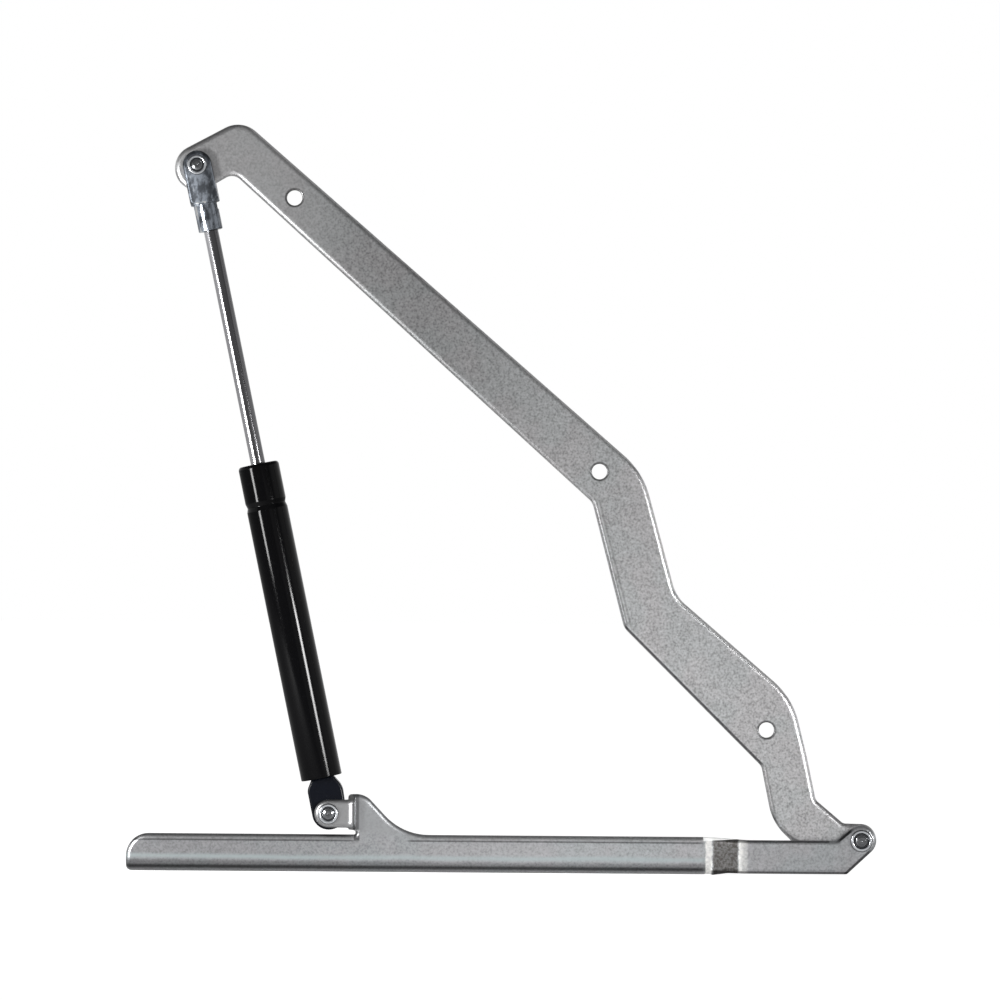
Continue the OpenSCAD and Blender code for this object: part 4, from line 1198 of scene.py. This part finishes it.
class HINGE_OT_rivets(bpy.types.Operator):
    """Builds the coined rivets of the main pivot, the ear and the tip"""

    bl_idname = "lift_hinge.rivets"
    bl_label = "Rivets"

    def execute(self, context):
        settings = context.scene.hinge_rivets
        pivot_low, pivot_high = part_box("pivot_rivet")
        ear_low, ear_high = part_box("ear_rivet")
        pin_low, pin_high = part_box("tip_pin_front")
        tail_low, tail_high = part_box("tip_pin_back")
        head, small = 2.2 * MM, 1.8 * MM
        add_rivet("pivot_rivet_turned", PIVOT, (6.1 * MM, 4.0 * MM, 6.7 * MM), (head, head),
                  (pivot_low[1] + head, pivot_high[1] - head), ["pivot_rivet"], "base", settings)
        add_rivet("ear_rivet_turned", EAR, (5.7 * MM, 3.0 * MM, 5.7 * MM), (small, small),
                  (ear_low[1] + small, ear_high[1] - small), ["ear_rivet"], "base", settings)
        add_rivet("tip_pin_turned", TIP, (5.5 * MM, 3.5 * MM, 0.0), (small, 0.0),
                  (pin_low[1] + small, pin_high[1]), ["tip_pin_front"], "rod", settings)
        tail = bright_finish("rivet_steel", tuple(settings.steel), 0.24, 2.0, 0.0004)
        paint(frame["nodes"]["tip_pin_back"], tail)
        return {"FINISHED"}


# Gas spring

TUBE_RADIUS = 11.3
TUBE_BORE = 10.1
TUBE_START = 19.8
TUBE_END = 195.8
TUBE_GROOVE = (172.7, 1.2, 0.75)
ROD_RADIUS = 4.0
ROD_TAIL = 158.6
ROD_SPIGOT = 2.5
ROD_SHOULDER = 170.6
ROD_THREAD = 3.0
ROD_THREAD_LENGTH = 13.5
EYE_RADIUS = 9.1
EYE_SHOULDERS = ((10.4, 13.2, 10.0), (-9.0, 14.6, 6.5))
EYE_NECK = (-5.7, 6.6)


class HINGE_OT_tube(bpy.types.Operator):
    """Builds the black tube with its rolled mouth and crimped groove"""

    bl_idname = "lift_hinge.tube"
    bl_label = "Tube"

    def execute(self, context):
        settings = context.scene.hinge_spring
        at, half, depth = TUBE_GROOVE
        r, bore = TUBE_RADIUS, TUBE_BORE
        mouth = ROD_RADIUS + 2.4
        corners = [
            (bore, TUBE_START, 0.1), (r, TUBE_START, 0.5), (r, at - 2.0 * half, 1.6), (r - depth, at, 0.9),
            (r, at + 2.0 * half, 1.6), (r, TUBE_END - 1.0, 2.2), (r - 1.2, TUBE_END - 0.1, 1.6),
            (mouth, TUBE_END, 0.3), (mouth, TUBE_END - 1.2, 0.1), (bore - 0.7, TUBE_END - 1.2, 0.1),
            (bore - 0.7, TUBE_START + 1.5, 0.1), (bore, TUBE_START + 1.5, 0.1)]
        piece = turned_piece("tube_body", in_metres(corners), on_spring, segments=128, steps=10)
        finish = lacquer("tube_black", tuple(settings.tube), 0.10, 0.0006, 0.085)
        ready(piece, "cylinder", ["cylinder_tube"], finish)
        return {"FINISHED"}


class HINGE_OT_eye(bpy.types.Operator):
    """Builds the flat black eye below the tube"""

    bl_idname = "lift_hinge.eye"
    bl_label = "Eye"

    def execute(self, context):
        settings = context.scene.hinge_spring
        low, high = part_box("lower_eye")
        end = round_end((0.0, 0.0), EYE_RADIUS * MM, 180, 360)
        right, left = EYE_SHOULDERS
        neck = [(x, TUBE_START, 0.2) for x in reversed(EYE_NECK)]
        corners = end + in_metres([right, *neck, left])

        def place(flat, height):
            return on_spring(flat[:, 0], -height, flat[:, 1])

        piece = sheet_piece("eye_body", corners, high[1] - low[1], place, (1.3 * MM, 1.3 * MM),
                            (1.3 * MM, 1.3 * MM), [((0.0, 0.0), 4.2 * MM, 0.3 * MM)], steps=14)
        finish = lacquer("eye_black", tuple(settings.eye), 0.30, 0.002, 0.13)
        ready(piece, "cylinder", ["lower_eye"], finish)
        return {"FINISHED"}


class HINGE_OT_rod(bpy.types.Operator):
    """Builds the ground and chromed rod"""

    bl_idname = "lift_hinge.rod"
    bl_label = "Rod"

    def execute(self, context):
        settings = context.scene.hinge_spring
        neck_end = SPAN / MM - FORK_LENGTH
        top = neck_end + ROD_THREAD_LENGTH
        corners = [
            (0, ROD_TAIL, 0), (ROD_SPIGOT, ROD_TAIL, 0.2), (ROD_SPIGOT, ROD_SHOULDER, 0.1),
            (ROD_RADIUS, ROD_SHOULDER, 0.3), (ROD_RADIUS, neck_end, 0.2), (ROD_THREAD, neck_end, 0.1),
            (ROD_THREAD, top, 0.3), (0, top, 0)]
        piece = turned_piece("rod_shaft", in_metres(corners), on_spring, segments=96)
        ready(piece, "rod", ["piston_rod"], chrome_finish(settings))
        return {"FINISHED"}


FORK_HALF = 7.9
FORK_DEEP = 7.5
FORK_EDGE = 1.5
FORK_BLOCK = 21.5
FORK_LENGTH = 36.5
FORK_NECK = 6.7
FORK_SLOT_HALF = 2.8
FORK_FLOOR = 1.5
FORK_RELIEF = (1.2, 7.0)


class HINGE_OT_fork(bpy.types.Operator):
    """Builds the fork: a round-topped block with softened edges, a turned neck and a slot"""

    bl_idname = "lift_hinge.fork"
    bl_label = "Fork"

    def execute(self, context):
        settings = context.scene.hinge_spring
        piece = self.block()
        cutter = self.slot()
        cut = piece.modifiers.new("slot", "BOOLEAN")
        cut.operation = "DIFFERENCE"
        cut.solver = "EXACT"
        cut.object = cutter
        bpy.context.view_layer.update()
        graph = bpy.context.evaluated_depsgraph_get()
        mesh = bpy.data.meshes.new_from_object(piece.evaluated_get(graph))
        piece.modifiers.clear()
        piece.data = mesh
        mesh.shade_smooth()
        mesh.set_sharp_from_angle(angle=math.radians(30))
        bpy.data.objects.remove(cutter)
        ready(piece, "rod", ["fork_head"], fork_finish(settings))
        return {"FINISHED"}

    def block(self):
        """Sections along the spring: a circle for the neck, then a rounded rectangle that narrows
        over the top as the cosine of a quarter turn. A cone trims its lower corners."""
        base = SPAN - FORK_BLOCK * MM
        neck_end = SPAN - FORK_LENGTH * MM
        soft = np.linspace(0, math.pi / 2, 5)
        chamfer = 0.5 * MM
        neck = FORK_NECK * MM
        rows = [(neck_end, 0.0), (neck_end, neck * 0.65)]
        rows += [(neck_end + chamfer * (1 - math.cos(a)), neck - chamfer * (1 - math.sin(a))) for a in soft]
        flare = 0.6 * MM
        rows += [(base - flare, neck)]
        rows += [(base - flare + flare * math.sin(a), neck + flare * (1 - math.cos(a))) for a in soft[1:]]
        s = np.array([row[0] for row in rows])
        a = np.array([row[1] for row in rows])
        half, deep = FORK_HALF * MM, FORK_DEEP * MM
        low = base + 0.02 * MM + np.linspace(0, 1, 24) ** 1.5 * (SPAN - base)
        over = np.linspace(0, math.pi / 2, 22)[1:]
        block_s = np.concatenate([low, SPAN + half * np.sin(over)])
        block_a = np.concatenate([np.full(24, half), half * np.cos(over)])
        s = np.concatenate([s, block_s])
        width = np.concatenate([a, block_a])
        depth = np.concatenate([a, np.full(len(block_s), deep)])
        corner = np.concatenate([a, np.minimum(FORK_EDGE * MM, block_a)])
        trim = np.concatenate([np.full(len(a), 1.0), (FORK_NECK + 1.3) * MM + (block_s - base) * 1.15])
        t = np.linspace(0, math.pi / 2, 9)
        side = np.linspace(-1, 1, 14)[1:-1]
        quarters = []
        for k in range(4):
            c, d = math.cos(k * math.pi / 2), math.sin(k * math.pi / 2)
            arc = np.stack([np.ones_like(t), np.ones_like(t), np.cos(t), np.sin(t)], axis=1)
            flat = np.stack([-side, np.ones_like(side), np.zeros_like(side), np.ones_like(side)], axis=1)
            part = np.concatenate([arc, flat])
            x, y, cx, cy = part.T
            turned = [x * c - y * d, x * d + y * c, cx * c - cy * d, cx * d + cy * c]
            quarters.append(np.stack(turned, axis=1))
        template = np.concatenate(quarters)
        x = template[:, 0] * (width - corner)[:, None] + template[:, 2] * corner[:, None]
        y = template[:, 1] * (depth - corner)[:, None] + template[:, 3] * corner[:, None]
        far = np.maximum(np.hypot(x, y), 1e-9)
        keep = np.minimum(1, trim[:, None] / far)
        z = np.repeat(s[:, None], x.shape[1], axis=1)
        points = on_spring((x * keep).ravel(), (y * keep).ravel(), z.ravel())
        return new_piece("fork_body", points, grid_faces(len(s), x.shape[1]), 30.0)

    def slot(self):
        """Prism that cuts the slot, with the relief in its floor on the right."""
        pin = SPAN / MM
        floor = pin - FORK_BLOCK + FORK_FLOOR
        side = FORK_HALF + 2.0
        start, drop = FORK_RELIEF
        fall = drop * (side - start) / (FORK_HALF - start)
        top = pin + 12
        outline = np.array([(-side, floor), (start, floor), (side, floor - fall), (side, top), (-side, top)])
        count = len(outline)
        x = np.tile(outline[:, 0], 2) * MM
        z = np.tile(outline[:, 1], 2) * MM
        y = np.repeat([-FORK_SLOT_HALF, FORK_SLOT_HALF], count) * MM
        faces = grid_faces(2, count) + [list(range(count)), list(range(count, 2 * count))]
        return new_piece("slot_cutter", on_spring(x, y, z), faces)


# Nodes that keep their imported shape

SMALL_PARTS = {
    "washer_steel": (["pivot_spacer", "pivot_back_washer", "ear_back_washer"], "bright",
                     (0.55, 0.55, 0.55), 0.30),
    "slip_washer_nylon": (["ear_front_washer"], "moulded", (0.72, 0.71, 0.66), 0.45),
    "bush_bronze": (["pivot_bush", "tip_bush", "eye_bush"], "bright", (0.55, 0.38, 0.18), 0.42),
    "pin_steel": (["tip_pin_core"], "bright", (0.60, 0.61, 0.63), 0.25),
    "inner_steel": (["end_plug", "seal_support", "spacer_sleeve", "rebound_washer", "piston_nut"], "bright",
                    (0.42, 0.43, 0.44), 0.34),
    "guide_brass": (["rod_guide"], "bright", (0.62, 0.46, 0.20), 0.28),
    "seal_rubber": (["guide_ring", "rod_seal"], "moulded", (0.02, 0.02, 0.02), 0.60),
    "piston_alloy": (["piston"], "bright", (0.58, 0.59, 0.61), 0.38),
    "ring_plastic": (["piston_ring"], "moulded", (0.06, 0.06, 0.065), 0.45),
}


class HINGE_OT_small_parts(bpy.types.Operator):
    """Gives the washers, bushes and inner parts their finishes"""

    bl_idname = "lift_hinge.small_parts"
    bl_label = "Small parts"

    def execute(self, context):
        makers = {"bright": bright_finish, "moulded": moulded}
        for name, (nodes, kind, tone, roughness) in SMALL_PARTS.items():
            finish = makers[kind](name, tone, roughness)
            for node in nodes:
                paint(frame["nodes"][node], finish)
        return {"FINISHED"}


class HINGE_PT_panel(bpy.types.Panel):
    """Sidebar panel that lists the pieces"""

    bl_idname = "HINGE_PT_panel"
    bl_label = "Lift hinge"
    bl_space_type = "VIEW_3D"
    bl_region_type = "UI"
    bl_category = "Lift hinge"

    def draw(self, context):
        scene = context.scene
        for pointer in POINTERS:
            box = self.layout.box()
            group = getattr(scene, pointer)
            for key in group.__annotations__:
                box.prop(group, key)
        for operator in OPERATORS:
            self.layout.operator(operator.bl_idname)


POINTERS = {"hinge_arm": ArmSettings, "hinge_bracket": BracketSettings, "hinge_spring": SpringSettings,
            "hinge_rivets": RivetSettings, "hinge_stage": StageSettings}
OPERATORS = [HINGE_OT_stage, HINGE_OT_arm, HINGE_OT_bracket, HINGE_OT_rivets, HINGE_OT_tube, HINGE_OT_eye,
             HINGE_OT_rod, HINGE_OT_fork, HINGE_OT_small_parts]


def register():
    """Adds the settings, the operators and the panel to Blender."""
    for group in POINTERS.values():
        bpy.utils.register_class(group)
    for operator in OPERATORS:
        bpy.utils.register_class(operator)
    bpy.utils.register_class(HINGE_PT_panel)
    for pointer, group in POINTERS.items():
        setattr(bpy.types.Scene, pointer, bpy.props.PointerProperty(type=group))


def unregister():
    """Takes away what register added, in the other order."""
    for pointer in POINTERS:
        delattr(bpy.types.Scene, pointer)
    bpy.utils.unregister_class(HINGE_PT_panel)
    for operator in reversed(OPERATORS):
        bpy.utils.unregister_class(operator)
    for group in reversed(POINTERS.values()):
        bpy.utils.unregister_class(group)


def main():
    """Runs every operator in turn."""
    register()
    bpy.ops.lift_hinge.stage()
    bpy.ops.lift_hinge.arm()
    bpy.ops.lift_hinge.bracket()
    bpy.ops.lift_hinge.rivets()
    bpy.ops.lift_hinge.tube()
    bpy.ops.lift_hinge.eye()
    bpy.ops.lift_hinge.rod()
    bpy.ops.lift_hinge.fork()
    bpy.ops.lift_hinge.small_parts()
    boxes = {"cad": cad_bounds, "visual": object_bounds()}
    sizes = {name: [[float(v) for v in corner] for corner in box] for name, box in boxes.items()}


if __name__ == "__main__":
    main()
